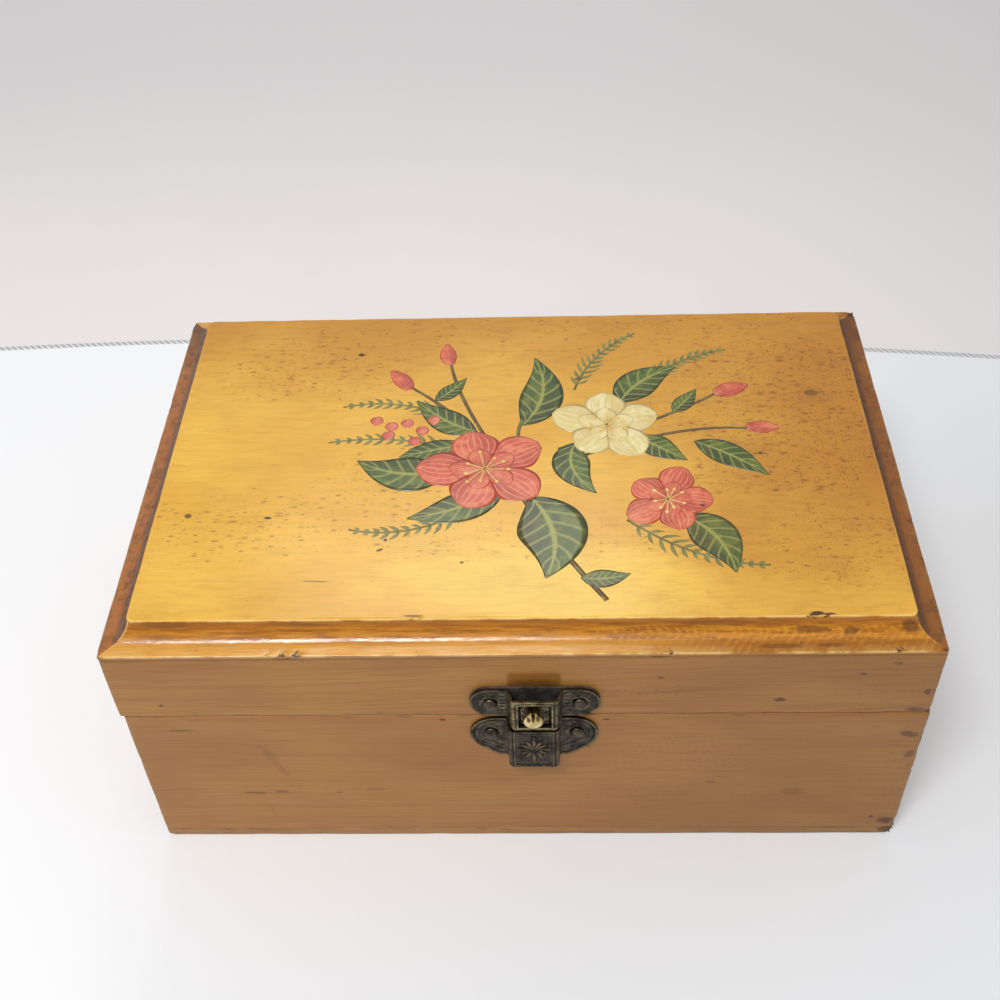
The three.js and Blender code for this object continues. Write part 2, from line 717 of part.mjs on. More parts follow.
// A round-topped button on a riveted shank, cleft from its upper edge to its middle.
function clovenKnob() {
  const neckHeight = knobHeight / 6;
  const rimHeightAt = knobHeight / 3;
  const crownBase = knobHeight / 2;
  const profile = [
    [0, -fitGap - tongueSheet],
    [knobShankRadius, -fitGap - tongueSheet],
    [knobShankRadius, 0],
    [knobNeckRadius, 0],
    [knobNeckRadius, neckHeight],
    [knobRadius, rimHeightAt],
    [knobRadius, crownBase],
  ];
  const steps = curveSteps + 1;
  for (let i = 1; i <= steps; i += 1) {
    const angle = (Math.PI / 2) * (i / steps);
    const radius = i === steps ? 0 : knobRadius * Math.cos(angle);
    profile.push([radius, crownBase + (knobHeight - crownBase) * Math.sin(angle)]);
  }
  const body = facingFront(turned(profile, roundSides));
  const notch = new THREE.Shape([
    new THREE.Vector2(0, 0),
    new THREE.Vector2(knobNotchWidth, knobRadius * 2),
    new THREE.Vector2(-knobNotchWidth, knobRadius * 2),
  ]);
  const cleft = carriedBack(notch, -knobHeight - overrun, -neckHeight);
  return cut(body, [cleft]).translate(knobX, knobBase, knobZ);
}

// The whole box

const hingeCuts = (side) => Object.values(hingeCentres).flatMap((x) => hingeRecess(side, x));
const movedAcross = (cutters, x) => cutters.map((cutter) => cutter.translate(x, 0, 0));

const caseBoards = frameBoards(
  caseWidth,
  wallThickness,
  bottomThickness + glueLine,
  caseTop,
  movedAcross(pinHoles(housingPinSpacing, housingPinZ), housingCentre),
  [rearBevel(-1), ...hingeCuts(-1)],
);
place(caseGroup, "body_front_board", caseBoards.front, finishes.caseWood);
place(caseGroup, "body_back_board", caseBoards.back, finishes.caseWood);
place(caseGroup, "body_left_board", caseBoards.left, finishes.caseWood);
place(caseGroup, "body_right_board", caseBoards.right, finishes.caseWood);
const bottomPlan = roundedOutline(caseWidth, caseDepth, cornerRadius, cornerRadius);
place(
  caseGroup,
  "body_bottom_board",
  raised(bottomPlan, 0, bottomThickness).translate(0, -caseDepth / 2, 0),
  finishes.bottomWood,
);

// The lid's boards are cut at the lid's own middle, so the cutters are moved the other way first.
const bridgeAcross = catchCentre - lidShift;
const lidBoards = frameBoards(
  lidWidth,
  railThickness,
  lidBase,
  panelBase - glueLine,
  movedAcross(pinHoles(bridgePinSpacing, bridgePinZ), bridgeAcross),
  movedAcross([rearBevel(1), ...hingeCuts(1)], -lidShift),
);
place(lidGroup, "lid_front_rail", lidBoards.front.translate(lidShift, 0, 0), finishes.lidWood);
place(lidGroup, "lid_back_rail", lidBoards.back.translate(lidShift, 0, 0), finishes.lidWood);
place(lidGroup, "lid_left_rail", lidBoards.left.translate(lidShift, 0, 0), finishes.lidWood);
place(lidGroup, "lid_right_rail", lidBoards.right.translate(lidShift, 0, 0), finishes.lidWood);
const topPanel = mitredPanel(lidWidth, caseDepth, mouldingProfile()).translate(lidShift, 0, rimHeight);
place(lidGroup, "lid_top_panel", topPanel, finishes.panelWood);

Object.entries(hingeCentres).forEach(([sideName, x]) => addHinge(sideName, x));

place(caseGroup, "catch_housing_plate", housingPlate(), finishes.darkMetal);
place(lidGroup, "catch_bridge_plate", bridgePlate(), finishes.darkMetal);
place(lidGroup, "catch_backplate", backplate(), finishes.darkMetal);
["left", "right"].forEach((sideName, i) => {
  const side = i * 2 - 1;
  const bridgePinX = catchCentre + (side * bridgePinSpacing) / 2;
  const housingPinX = housingCentre + (side * housingPinSpacing) / 2;
  const onBridge = catchPin(bridgePinX, bridgePinZ, bridgeEarBack + catchSheet + fitGap);
  const onHousing = catchPin(housingPinX, housingPinZ, housingEarBack + catchSheet + fitGap);
  place(lidGroup, `catch_bridge_pin_${sideName}`, onBridge, finishes.darkMetal);
  place(caseGroup, `catch_housing_pin_${sideName}`, onHousing, finishes.darkMetal);
});
place(tongueGroup, "catch_spring_tongue", springTongue(), finishes.darkMetal);
place(tongueGroup, "catch_knob", clovenKnob(), finishes.brass);

export default box;
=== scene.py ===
import math
import bmesh
import bpy
import numpy as np
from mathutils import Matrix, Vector


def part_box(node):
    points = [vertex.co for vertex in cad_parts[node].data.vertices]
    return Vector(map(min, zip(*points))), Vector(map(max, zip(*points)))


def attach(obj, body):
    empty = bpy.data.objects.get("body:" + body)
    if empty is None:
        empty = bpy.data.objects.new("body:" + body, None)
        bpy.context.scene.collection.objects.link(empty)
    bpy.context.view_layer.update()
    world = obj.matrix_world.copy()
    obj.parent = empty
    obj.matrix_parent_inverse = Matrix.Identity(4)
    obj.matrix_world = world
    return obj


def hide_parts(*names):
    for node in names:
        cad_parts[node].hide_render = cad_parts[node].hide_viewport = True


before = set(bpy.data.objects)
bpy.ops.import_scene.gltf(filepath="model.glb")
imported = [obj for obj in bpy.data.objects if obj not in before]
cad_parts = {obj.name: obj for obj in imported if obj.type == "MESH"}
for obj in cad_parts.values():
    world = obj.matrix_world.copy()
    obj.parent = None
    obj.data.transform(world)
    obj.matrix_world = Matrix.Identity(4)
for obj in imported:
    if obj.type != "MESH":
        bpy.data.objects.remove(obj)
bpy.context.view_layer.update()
mm = 0.001  # sizes in this script are millimetres, and Blender's are metres
print("frame loaded:", len(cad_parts), "nodes")


# A node's lowest and highest corners, in millimetres.
def nodeBox(name):
    low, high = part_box(name)
    return np.array(low) / mm, np.array(high) / mm


# A new object in the scene that shows this mesh, lamp or camera.
def addObject(name, data):
    item = bpy.data.objects.new(name, data)
    bpy.context.scene.collection.objects.link(item)
    return item


# Camera and studio

photoView = {
    "lens": 47.613,
    "sensor": 36.0,
    "place": (5.188, -214.79, 266.398),
    "turn": (0.7907, 0.0325, 0.0166),
}
studio = {
    "skyColour": (0.93, 0.95, 1.0),
    "skyLevel": 0.5,
    "lamps": (
        {"name": "frontLamp", "place": (-165, -450, 850), "size": (340, 210), "watts": 5.0,
         "tone": (1, 0.99, 0.97)},
        {"name": "backLamp", "place": (-70, 560, 780), "size": (330, 200), "watts": 0.9,
         "tone": (1, 0.98, 0.93)},
    ),
}
tableTop = {
    "reach": 4000,
    "lineAt": 129.0,
    "lineSlope": -0.0452,
    "lineBend": -0.000291,
    "hem": 1.3,
    # The near, left and right colours paint light and shadow on the floor; the wall colours paint light
    # falloff.
    "nearColour": (0.865, 0.885, 0.905),
    "leftColour": (0.98, 0.985, 0.99),
    "shadedRightColour": (0.735, 0.735, 0.735),
    "wallLow": (0.90, 0.85, 0.83),
    "wallHigh": (0.79, 0.75, 0.745),
    "wallRight": (0.73, 0.71, 0.695),
    "hemColour": (0.4, 0.4, 0.4),
}


# The photo's view, as it was fitted to the corners of the box.
def addCamera():
    data = bpy.data.cameras.new("photoCamera")
    data.sensor_width = photoView["sensor"]
    data.lens = photoView["lens"]
    data.clip_start = 0.01
    camera = addObject("photoCamera", data)
    camera.location = [v * mm for v in photoView["place"]]
    camera.rotation_euler = photoView["turn"]
    bpy.context.scene.camera = camera


# A soft lamp that faces the middle of the box.
def addLamp(settings):
    data = bpy.data.lights.new(settings["name"], "AREA")
    data.shape = "RECTANGLE"
    data.size, data.size_y = [v * mm for v in settings["size"]]
    data.energy = settings["watts"]
    data.color = settings["tone"]
    lamp = addObject(settings["name"], data)
    lamp.location = Vector(settings["place"]) * mm
    lamp.rotation_euler = (Vector((0, 0, 0.04)) - lamp.location).to_track_quat("-Z", "Y").to_euler()


# An even bluish sky and two soft lamps.
def addStudio():
    scene = bpy.context.scene
    scene.view_settings.view_transform = "Standard"
    world = bpy.data.worlds.new("studioSky")
    scene.world = world
    world.use_nodes = True
    background = world.node_tree.nodes["Background"]
    background.inputs["Color"].default_value = (*studio["skyColour"], 1)
    background.inputs["Strength"].default_value = studio["skyLevel"]
    for settings in studio["lamps"]:
        addLamp(settings)


# Nodes

# An 8-bit colour as Blender's linear one.
def tone(red, green, blue):
    shares = np.array([red, green, blue]) / 255
    low = shares / 12.92
    high = ((shares + 0.055) / 1.055) ** 2.4
    return (*np.where(shares <= 0.04045, low, high).tolist(), 1.0)


# The node tree that is being made, and in it the place on the piece in millimetres.
making = {}


# A number that varies over the surface. Sums, products and the like of it are math nodes.
class Value:
    def __init__(self, socket):
        self.socket = socket

    def __add__(self, other):
        return mathNode("ADD", self, other)

    def __sub__(self, other):
        return mathNode("SUBTRACT", self, other)

    def __rsub__(self, other):
        return mathNode("SUBTRACT", other, self)

    def __mul__(self, other):
        return mathNode("MULTIPLY", self, other)

    def __truediv__(self, other):
        return mathNode("DIVIDE", self, other)

    def __abs__(self):
        return mathNode("ABSOLUTE", self)


# Gives sockets their values, or links them where the value is another node's socket.
def setInputs(node, inputs):
    for key, value in inputs.items():
        value = value.socket if isinstance(value, Value) else value
        if isinstance(value, bpy.types.NodeSocket):
            making["tree"].links.new(value, node.inputs[key])
        else:
            node.inputs[key].default_value = value


# A new node with these settings and inputs, given by its outputs.
def addNode(kind, inputs, **settings):
    node = making["tree"].nodes.new("ShaderNode" + kind)
    for key, value in settings.items():
        setattr(node, key, value)
    setInputs(node, inputs)
    return node.outputs


# One operation of arithmetic on values or plain numbers.
def mathNode(operation, *values):
    return Value(addNode("Math", dict(enumerate(values)), operation=operation)[0])


# The larger of two values at each place.
def larger(first, second):
    return mathNode("MAXIMUM", first, second)


# From 0 where the value is at low to 1 (or top) where it is at high, eased at both ends.
def ease(value, low, high, top=1.0):
    inputs = {"Value": value, "From Min": low, "From Max": high, "To Min": 0.0, "To Max": top}
    return Value(addNode("MapRange", inputs, interpolation_type="SMOOTHSTEP")[0])


# The first colour at 0 and the second, or their product, at 1.
def mix(amount, first, second, mode="MIX"):
    return addNode("Mix", {0: amount, 6: first, 7: second}, data_type="RGBA", blend_type=mode)[2]


# A colour with layers over it, each given by its share and its own colour.
def layered(colour, layers):
    for amount, over in layers:
        colour = mix(amount, colour, over)
    return colour


# A new material whose tree the functions here add to from now on, and its shader.
def newMaterial(name):
    material = bpy.data.materials.new(name)
    material.use_nodes = True
    making["tree"] = material.node_tree
    inputs = {"Vector": addNode("TexCoord", {})["Object"], "Scale": (1 / mm, 1 / mm, 1 / mm)}
    making["place"] = addNode("Mapping", inputs)[0]
    return material, material.node_tree.nodes["Principled BSDF"]


# The place on the piece as three values: X, Y and Z in millimetres.
def splitPlace():
    return [Value(part) for part in addNode("SeparateXYZ", {"Vector": making["place"]})]


# The number that the mesh holds under this name.
def numberOf(name):
    return Value(addNode("Attribute", {}, attribute_name=name)["Fac"])


# Soft noise whose blobs measure about this size along X, Y and Z.
def noise(size, seed=0, detail=2.0, roughness=0.5, turn=(0, 0, 0)):
    place = making["place"]
    if any(turn):
        place = addNode("Mapping", {"Vector": place, "Rotation": turn})[0]
    inputs = {"Vector": place, "Scale": [1 / v for v in size],
              "Location": (seed * 7.3, seed * 3.1, seed * 5.7)}
    inputs = {"Vector": addNode("Mapping", inputs)[0], "Scale": 1.0, "Detail": detail,
              "Roughness": roughness}
    return Value(addNode("TexNoise", inputs)[0])


# How much each place is covered by a list of turned ellipses, each with its centre, half sizes, turn and
# strength.
def marksOver(marks, ragged):
    cover = 0.0
    for centre, halves, turn, strength in marks:
        inputs = {"Vector": making["place"], "Location": centre, "Rotation": turn, "Scale": halves}
        inside = addNode("Mapping", inputs, vector_type="TEXTURE")[0]
        reach = Value(addNode("VectorMath", {0: inside}, operation="LENGTH")["Value"])
        cover = larger(cover, ease(reach + ragged * 1.1, 1.55, 1.05, strength))
    return cover


# Marks seen from the front, from rows of X, Z, half sizes along X and Z, turn and strength.
def frontMarks(*rows):
    woodY, deep = -54, 9
    return [((x, woodY, z), (wide, deep, high), (0, turn, 0), share)
            for x, z, wide, high, turn, share in rows]


# The same seen from above, with Y instead of Z.
def topMarks(*rows):
    topZ, deep = 69, 30
    return [((x, y, topZ), (wide, long, deep), (0, 0, turn), share)
            for x, y, wide, long, turn, share in rows]


# Normals bent as if the height, times a distance in millimetres, stood out.
def bumpFrom(height, distance):
    return addNode("Bump", {"Height": height, "Distance": distance * mm, "Strength": 1.0})[0]


# Meshes

# The name of the piece that stands for a CAD node: body_front_board gives caseFrontBoard.
def pieceName(node):
    first, *others = node.replace("body_", "case_").split("_")
    return first + "".join(word.title() for word in others)


# A number at each point of a mesh, for its material to read.
def addNumber(mesh, key, values):
    attribute = mesh.attributes.new(key, "FLOAT", "POINT")
    attribute.data.foreach_set("value", np.asarray(values, np.float32).ravel())


# Puts a mesh into the scene: it rides with its body and stands for its CAD node.
def enlist(mesh, body, node=None):
    piece = addObject(mesh.name, mesh)
    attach(piece, body)
    if node:
        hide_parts(node)
    return piece


# A piece from points in millimetres, faces, and numbers for its materials. Merge joins the points that fall
# together, and faces that bend past the sharp angle meet in a hard edge.
def addPiece(node, points, faces, materials, body, numbers=None, sharp=None, merge=False, name=None):
    mesh = bpy.data.meshes.new(name or pieceName(node))
    mesh.from_pydata((np.asarray(points).reshape(-1, 3) * mm).tolist(), [], faces)
    for key, values in (numbers or {}).items():
        addNumber(mesh, key, values)
    for material in materials:
        mesh.materials.append(material)
    mesh.polygons.foreach_set("use_smooth", np.ones(len(mesh.polygons), bool))
    if merge:
        joined = bmesh.new()
        joined.from_mesh(mesh)
        bmesh.ops.remove_doubles(joined, verts=joined.verts, dist=0.001 * mm)
        joined.to_mesh(mesh)
        joined.free()
    if sharp:
        mesh.set_sharp_from_angle(angle=sharp)
    mesh.update()
    return enlist(mesh, body, node)


# Rounds the edges of a piece that bend past an angle.
def addBevel(piece, width, segments, angle):
    bevel = piece.modifiers.new("ease", "BEVEL")
    bevel.width = width * mm
    bevel.segments = segments
    bevel.limit_method = "ANGLE"
    bevel.angle_limit = angle


# The quads of a grid of points, counted along its columns first; each way may close on itself.
def gridQuads(rows, columns, wrapColumns=False, wrapRows=False):
    lastRow, lastColumn = rows if wrapRows else rows - 1, columns if wrapColumns else columns - 1
    r, c = np.meshgrid(np.arange(lastRow), np.arange(lastColumn), indexing="ij")
    nextR, nextC = (r + 1) % rows, (c + 1) % columns
    corners = [r * columns + c, r * columns + nextC, nextR * columns + nextC, nextR * columns + c]
    return np.stack(corners, -1).reshape(-1, 4)


# The direction of an open path at each of its points.
def directions(path):
    along = np.gradient(path, axis=0)
    return along / np.linalg.norm(along, axis=1)[:, None]


# The directions turned to the right by a quarter.
def rightOf(along):
    return np.stack([along[:, 1], -along[:, 0]], 1)


# How far along a path each of its points lies.
def lengthsAlong(path):
    return np.concatenate([[0], np.cumsum(np.linalg.norm(np.diff(path, axis=0), axis=1))])


# The point at a share t of the way on the curve from a start toward a bend and to an end.
def onBend(start, bend, end, t):
    return (1 - t) ** 2 * start + 2 * t * (1 - t) * bend + t**2 * end


# An open path with extra points, so that none lie further apart than a step.
def densify(path, step):
    runs = []
    for here, after in zip(path, path[1:]):
        count = max(1, int(np.ceil(np.linalg.norm(after - here) / step)))
        runs.append(here + (after - here) * (np.arange(count) / count)[:, None])
    return np.concatenate([*runs, path[-1:]])


# Smooth lumps, mostly between -1 and 1: sine waves of about this length summed over seeded directions.
def lumps(points, length, seed):
    waves = 12
    draw = np.random.default_rng(seed)
    ways = draw.normal(size=(waves, 3))
    ways *= (draw.uniform(0.6, 1.6, waves) * 2 * np.pi / length / np.linalg.norm(ways, axis=1))[:, None]
    return np.sin(points @ ways.T + draw.uniform(0, 2 * np.pi, waves)).sum(-1) * (1.3 / math.sqrt(waves))


# A soft ridge across a distance: 1 on the line, fading to 0 within about its width.
def ridge(distance, width):
    return np.exp(-((distance / width) ** 2))


# How far chips bite at each point: each chip is a ball of influence with a torn edge.
def chipsAt(points, chips, seed):
    bite = np.zeros(points.shape[:-1])
    tearing = 0.6 + 0.4 * lumps(points, 1.3, seed)
    for centre, radius, depth in chips:
        away = np.linalg.norm((points - np.array(centre)) / np.array(radius), axis=-1)
        share = np.clip(1.25 - away + 0.25 * lumps(points, 0.9, seed + 1), 0, 1)
        bite = np.maximum(bite, depth * share * tearing)
    return np.clip(bite, 0, None)


# A closed loop through right-angled corners, each rounded by its radius, with points no further apart than
# a step.
def roundedLoop(corners, radii, step):
    arcSteps = 6
    corners = [np.array(c, float) for c in corners]
    bends = []
    for i, here in enumerate(corners):
        before, after = corners[i - 1], corners[(i + 1) % len(corners)]
        toBefore = (before - here) / np.linalg.norm(before - here)
        toAfter = (after - here) / np.linalg.norm(after - here)
        angle = np.linspace(0, np.pi / 2, arcSteps)[:, None]
        centre = here + (toBefore + toAfter) * radii[i]
        arc = centre - radii[i] * (toAfter * np.cos(angle) + toBefore * np.sin(angle))
        bends.append(arc if radii[i] > 0 else here[None])
    return densify(np.concatenate([*bends, bends[0][:1]]), step)[:-1]


# The outward normals of a closed anticlockwise loop in a plane.
def loopNormals(loop):
    along = np.roll(loop, -1, axis=0) - np.roll(loop, 1, axis=0)
    return rightOf(along / np.linalg.norm(along, axis=1)[:, None])


# The front, back and walls of a sheet from the cells that are kept, for two grids of points one after the
# other.
def shellFaces(kept):
    index = np.arange((kept.shape[0] + 1) * (kept.shape[1] + 1)).reshape(kept.shape[0] + 1, -1)
    a, b, c, d = index[:-1, :-1], index[:-1, 1:], index[1:, 1:], index[1:, :-1]
    count = index.size
    front = np.stack([a, b, c, d], -1)[kept]
    around = np.pad(kept, 1)
    faces = [front, front[:, ::-1] + count]
    below, right, above, left = around[:-2, 1:-1], around[1:-1, 2:], around[2:, 1:-1], around[1:-1, :-2]
    sides = ((below, a, b), (right, b, c), (above, c, d), (left, d, a))
    for neighbour, first, second in sides:
        rim = kept & ~neighbour
        faces.append(np.stack([second[rim], first[rim], first[rim] + count, second[rim] + count], -1))
    return np.concatenate(faces)


# A copy of a CAD node with its points merged and its arrises eased. What lies in front of insideAt is
# inside the box.
def easedCopy(node, material, body, width, insideAt=None):
    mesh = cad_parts[node].data.copy()
    mesh.name = pieceName(node)
    if insideAt is not None:
        points = np.empty(len(mesh.vertices) * 3, np.float32)
        mesh.vertices.foreach_get("co", points)
        addNumber(mesh, "inside", points[1::3] / mm < insideAt + 0.2)
    mesh.materials.clear()
    mesh.materials.append(material)
    mesh.polygons.foreach_set("material_index", np.zeros(len(mesh.polygons), np.int32))
    mesh.polygons.foreach_set("use_smooth", np.zeros(len(mesh.polygons), bool))
    piece = enlist(mesh, body, node)
    merge = piece.modifiers.new("merge", "WELD")
    merge.merge_threshold = 0.001 * mm
    addBevel(piece, width, 3, 0.5)


# Wood

# The surface laid flat: the place along the board, then the other two sizes added together.
def surfacePlace(along):
    x, y, z = splitPlace()
    first, second = (x, y) if along == "x" else (y, x)
    return addNode("CombineXYZ", {0: first, 1: second + z})[0]


# Separate soft specks, one to a cell of this size, each with its own reach: bigger and more where they
# crowd.
def specksOf(surface, size, crowding, seed, gain):
    ragged = 0.34
    inputs = {"Vector": surface, "Scale": (1 / size[0], 1 / size[1], 1),
              "Location": (seed * 1.7, seed * 2.9, 0)}
    inputs = {"Vector": addNode("Mapping", inputs)[0], "Scale": 1.0}
    cell = addNode("TexVoronoi", inputs, voronoi_dimensions="2D")
    draw, strength, _ = [Value(part) for part in addNode("SeparateColor", {"Color": cell["Color"]})]
    torn = noise([max(size) * 0.4] * 3, seed + 1, 2)
    away = torn * ragged + (Value(cell["Distance"]) - ragged / 2)
    reach = crowding * gain + (draw * 0.55 - 0.46)
    speck = ease(away, reach * 1.15, reach * -0.15) * ease(reach, 0.0, 0.07)
    return speck * (strength * 0.6 + 0.4)


# Satin wood of the case and lid carcass: soft figure along the board, dashes, stains, worn arrises, painted
# shade darker toward the right and under the lid's rim, raw inside.
def boardWood(name, look):
    material, shader = newMaterial(name)
    along = look["along"]
    seed = look["seed"]
    fine, long = look["fibre"], look["fibreLength"]
    fibreSize = (long, fine, fine) if along == "x" else (fine, long, fine)
    figure = noise([v * 8 for v in fibreSize], seed, 3)
    fibre = noise(fibreSize, seed + 1, 3, 0.6)
    patches = noise((34, 34, 15), seed + 2, 3)
    ragged = noise((1.7, 1.7, 0.6), 9, 4, 0.65)
    colour = layered(look["light"], [
        (ease(patches, 0.36, 0.66), look["dark"]),
        (ease(figure, 0.48, 0.72, 0.6), look["warm"]),
        (ease(fibre, 0.46, 0.7, 0.55), look["fibreTone"]),
    ])
    for turn, lineSize, strength in look["lines"]:
        line = ease(noise(lineSize, seed + 7, 2, turn=turn), 0.62, 0.7, strength)
        colour = mix(line, colour, look["lineTone"])
    crowds = ease(noise((24, 24, 10), seed + 4, 1), 0.44, 0.66, look["dashes"])
    if look["crowdMarks"]:
        crowds = larger(crowds, marksOver(look["crowdMarks"], patches))
    surface = surfacePlace(along)
    dots = specksOf(surface, (0.8, 0.6), crowds, seed + 12, 0.16)
    specks = larger(specksOf(surface, (1.5, 0.6), crowds, seed + 3, 0.25), dots * 0.8)
    colour = mix(specks * 0.8, colour, look["speckTone"], "MULTIPLY")
    streaky = ease(noise((1.2, 1.2, 0.22), seed + 15, 3), 0.3, 0.6) * 0.45 + 0.55
    for markTone, marks in look["stains"]:
        colour = mix(marksOver(marks, ragged) * streaky, colour, markTone, "MULTIPLY")
    x, _, z = splitPlace()
    if look["patch"]:
        left, right, top = look["patch"]
        inPatch = ease(x, left - 0.5, left + 0.3) * ease(x, right + 0.5, right - 0.3)
        inPatch = inPatch * ease(ragged * 0.7 + z, top + 0.6, top) * (streaky * 0.8 + 0.3)
        colour = mix(inPatch, colour, look["patchTone"], "MULTIPLY")
    # painted shade: darker toward the right
    colour = mix(ease(x, -50.0, 90.0, look["shade"]), colour, look["shadeTone"], "MULTIPLY")
    # painted shade: a darker band on the lid's rail just under the overhanging rim
    paintedShadeUnderRim = ease(z, 63.3, 64.3) * (patches * 0.8 + 0.4)
    colour = mix(paintedShadeUnderRim, colour, look["shadeTone"], "MULTIPLY")
    rubbed = numberOf("edge") * ease(noise((4, 4, 1.2), 5, 4), 0.5, 0.72)
    inside = ease(numberOf("inside"), 0.35, 0.65)
    colour = layered(colour, [
        (rubbed * 0.6, look["edgeTone"]),
        (ease(numberOf("chip"), 0.05, 0.4), look["chipTone"]),
        (inside, mix(ease(fibre, 0.35, 0.7), look["rawLight"], look["rawDark"])),
    ])
    rough = fibre * 0.2 + look["rough"] + inside * 0.25
    inputs = {"Base Color": colour, "Roughness": rough, "Coat Weight": look["coat"], "Coat Roughness": 0.32,
              "IOR": 1.46}
    setInputs(shader, {**inputs, "Normal": bumpFrom(fibre * 0.6 + specks * -1.4, look["relief"])})
    return material


# Boards

boardShape = {
    "step": 0.9,
    "easeRadius": 0.35,
    "easeSteps": 4,
    "cornerRadius": 0.8,
    "innerRadius": 0.15,
    "innerShare": 0.25,
    "mostTaken": 0.74,
    "glueLine": 0.1,
    "wear": 0.05,
    "wearReach": 0.9,
    "wearLength": 9.0,
    "waviness": 0.03,
    "waveLength": 26.0,
    "edgeReach": 1.3,
    "insideReach": (1.5, 0.3),
    "pastEnds": 4,
}
barePine = {
    "rawLight": tone(205, 174, 126),
    "rawDark": tone(178, 143, 96),
    "chipTone": tone(70, 38, 22),
    "fibre": 0.30,
    "fibreLength": 16,
    "rough": 0.40,
    "coat": 0.1,
    "relief": 0.03,
}
caseLook = {
    **barePine,
    "along": "x",
    "seed": 11,
    "light": tone(169, 118, 54),
    "dark": tone(157, 106, 45),
    "warm": tone(160, 102, 44),
    "fibreTone": tone(142, 92, 40),
    "lineTone": tone(118, 72, 30),
    "speckTone": (0.42, 0.3, 0.24, 1),
    "shadeTone": (0.7, 0.68, 0.64, 1),
    "shade": 0.5,
    "patch": (),
    "patchTone": (0.66, 0.57, 0.27, 1),
    "edgeTone": tone(112, 72, 42),
    "dashes": 0.35,
    "lines": (((0, -0.03, 0), (70, 5, 0.5), 0.22),),
    "crowdMarks": frontMarks(
        (34, 31, 24, 10, 0.1, 1.0), (62, 14, 30, 12, 0, 0.7), (22, 13, 20, 9, 0, 0.85),
        (80, 26, 5.0, 24, 0, 1.3), (-40, 18, 26, 5, 0, 0.75), (-70, 42, 10, 3, 0, 0.7),
    ),
    "stains": (
        ((0.42, 0.36, 0.34, 1), frontMarks(
            (-52.6, 27.2, 1.0, 5.6, -0.42, 0.34), (-54.2, 31.6, 1.3, 3.4, -0.3, 0.34),
            (-55.4, 34.6, 1.7, 1.2, 0.3, 0.3), (-56.6, 10.0, 0.6, 3.4, 0, 0.16),
            (58.0, 17.0, 3.6, 1.8, 0, 0.3),
        )),
        ((0.24, 0.15, 0.11, 1), frontMarks(
            (-59.4, 17.3, 3.0, 0.7, 0.05, 0.62), (-53.4, 17.9, 1.9, 0.7, 0, 0.6),
            (-71.4, 40.7, 3.4, 0.45, 0, 0.6), (-33.0, 18.6, 2.6, 0.5, 0, 0.42),
            (-41.0, 17.4, 1.2, 0.5, 0, 0.45), (-4.0, 22.0, 3.0, 0.5, 0, 0.3),
            (80.0, 5.4, 2.3, 1.7, 0.2, 1.0), (76.6, 7.0, 0.7, 0.6, 0, 0.9),
            (79.3, 38.2, 2.6, 1.3, 0.3, 0.8), (80.6, 31.0, 1.4, 1.8, 0.3, 0.7),
            (-16.5, 44.0, 0.8, 0.6, 0, 0.95), (13.5, 34.6, 0.5, 0.45, 0, 0.9),
            (17.0, 43.9, 1.1, 0.5, 0, 0.9), (40.0, 21.0, 1.6, 0.6, 0, 0.5),
        )),
    ),
}
lidLook = {
    **caseLook,
    "seed": 23,
    "patch": (-2.7, 7.6, 59.4),
    "light": tone(171, 120, 54),
    "dark": tone(159, 108, 45),
    "lines": (((0, 0.08, 0), (60, 5, 0.3), 0.4), ((0, 0.06, 0), (44, 5, 0.5), 0.25)),
    "crowdMarks": frontMarks(
        (25, 54, 18, 8, 0.1, 1.1), (-75, 47, 12, 3, 0, 0.7), (72, 56, 16, 10, 0, 0.9),
        (0, 64.4, 84, 1.3, 0, 1.2), (60, 64.0, 24, 2.0, 0, 1.4),
    ),
    "stains": (
        ((0.36, 0.3, 0.24, 1), frontMarks(
            (2.3, 54.6, 7.4, 3.0, 0, 0.65),
        )),
        ((0.24, 0.15, 0.11, 1), frontMarks(
            (-73.6, 49.4, 0.9, 0.6, 0, 0.85), (-8.6, 50.6, 0.7, 0.5, 0, 0.95),
            (51.5, 50.2, 1.6, 0.8, 0, 0.95), (66.8, 58.4, 1.0, 0.5, 0.2, 0.7),
            (73.0, 61.6, 1.3, 0.5, 0.2, 0.6), (80.4, 52.4, 1.0, 1.2, 0.3, 0.85),
            (79.0, 46.6, 2.6, 0.9, 0, 0.8), (27.4, 57.6, 0.8, 0.5, 0, 0.8), (27.0, 64.3, 2.6, 0.5, 0, 0.8),
            (-46.0, 64.3, 3.6, 0.5, 0, 0.75),
        )),
    ),
}
sideLook = {**caseLook, "along": "y", "seed": 31, "crowdMarks": (), "stains": (), "dashes": 0.7,
            "shade": 0.0}
lidSideLook = {**sideLook, "seed": 37}
backLook = {**caseLook, "seed": 43, "crowdMarks": (), "stains": (), "dashes": 0.7, "shade": 0.0}
bottomLook = {
    **caseLook,
    "seed": 41,
    "light": tone(166, 120, 66),
    "dark": tone(152, 106, 54),
    "crowdMarks": (),
    "stains": (((0.2, 0.13, 0.1, 1), frontMarks((80.6, 1.6, 2.2, 1.4, 0, 0.9))),),
    "dashes": 0.7,
}
caseInside = np.array([nodeBox("body_left_board")[1][0], nodeBox("body_right_board")[0][0]])
insideY = nodeBox("body_front_board")[1][1]
panelBase = nodeBox("lid_top_panel")[0][2]
boardLooks = {
    "caseWood": caseLook,
    "lidWood": lidLook,
    "sideWood": sideLook,
    "lidSideWood": lidSideLook,
    "bottomWood": bottomLook,
    "backWood": backLook,
}
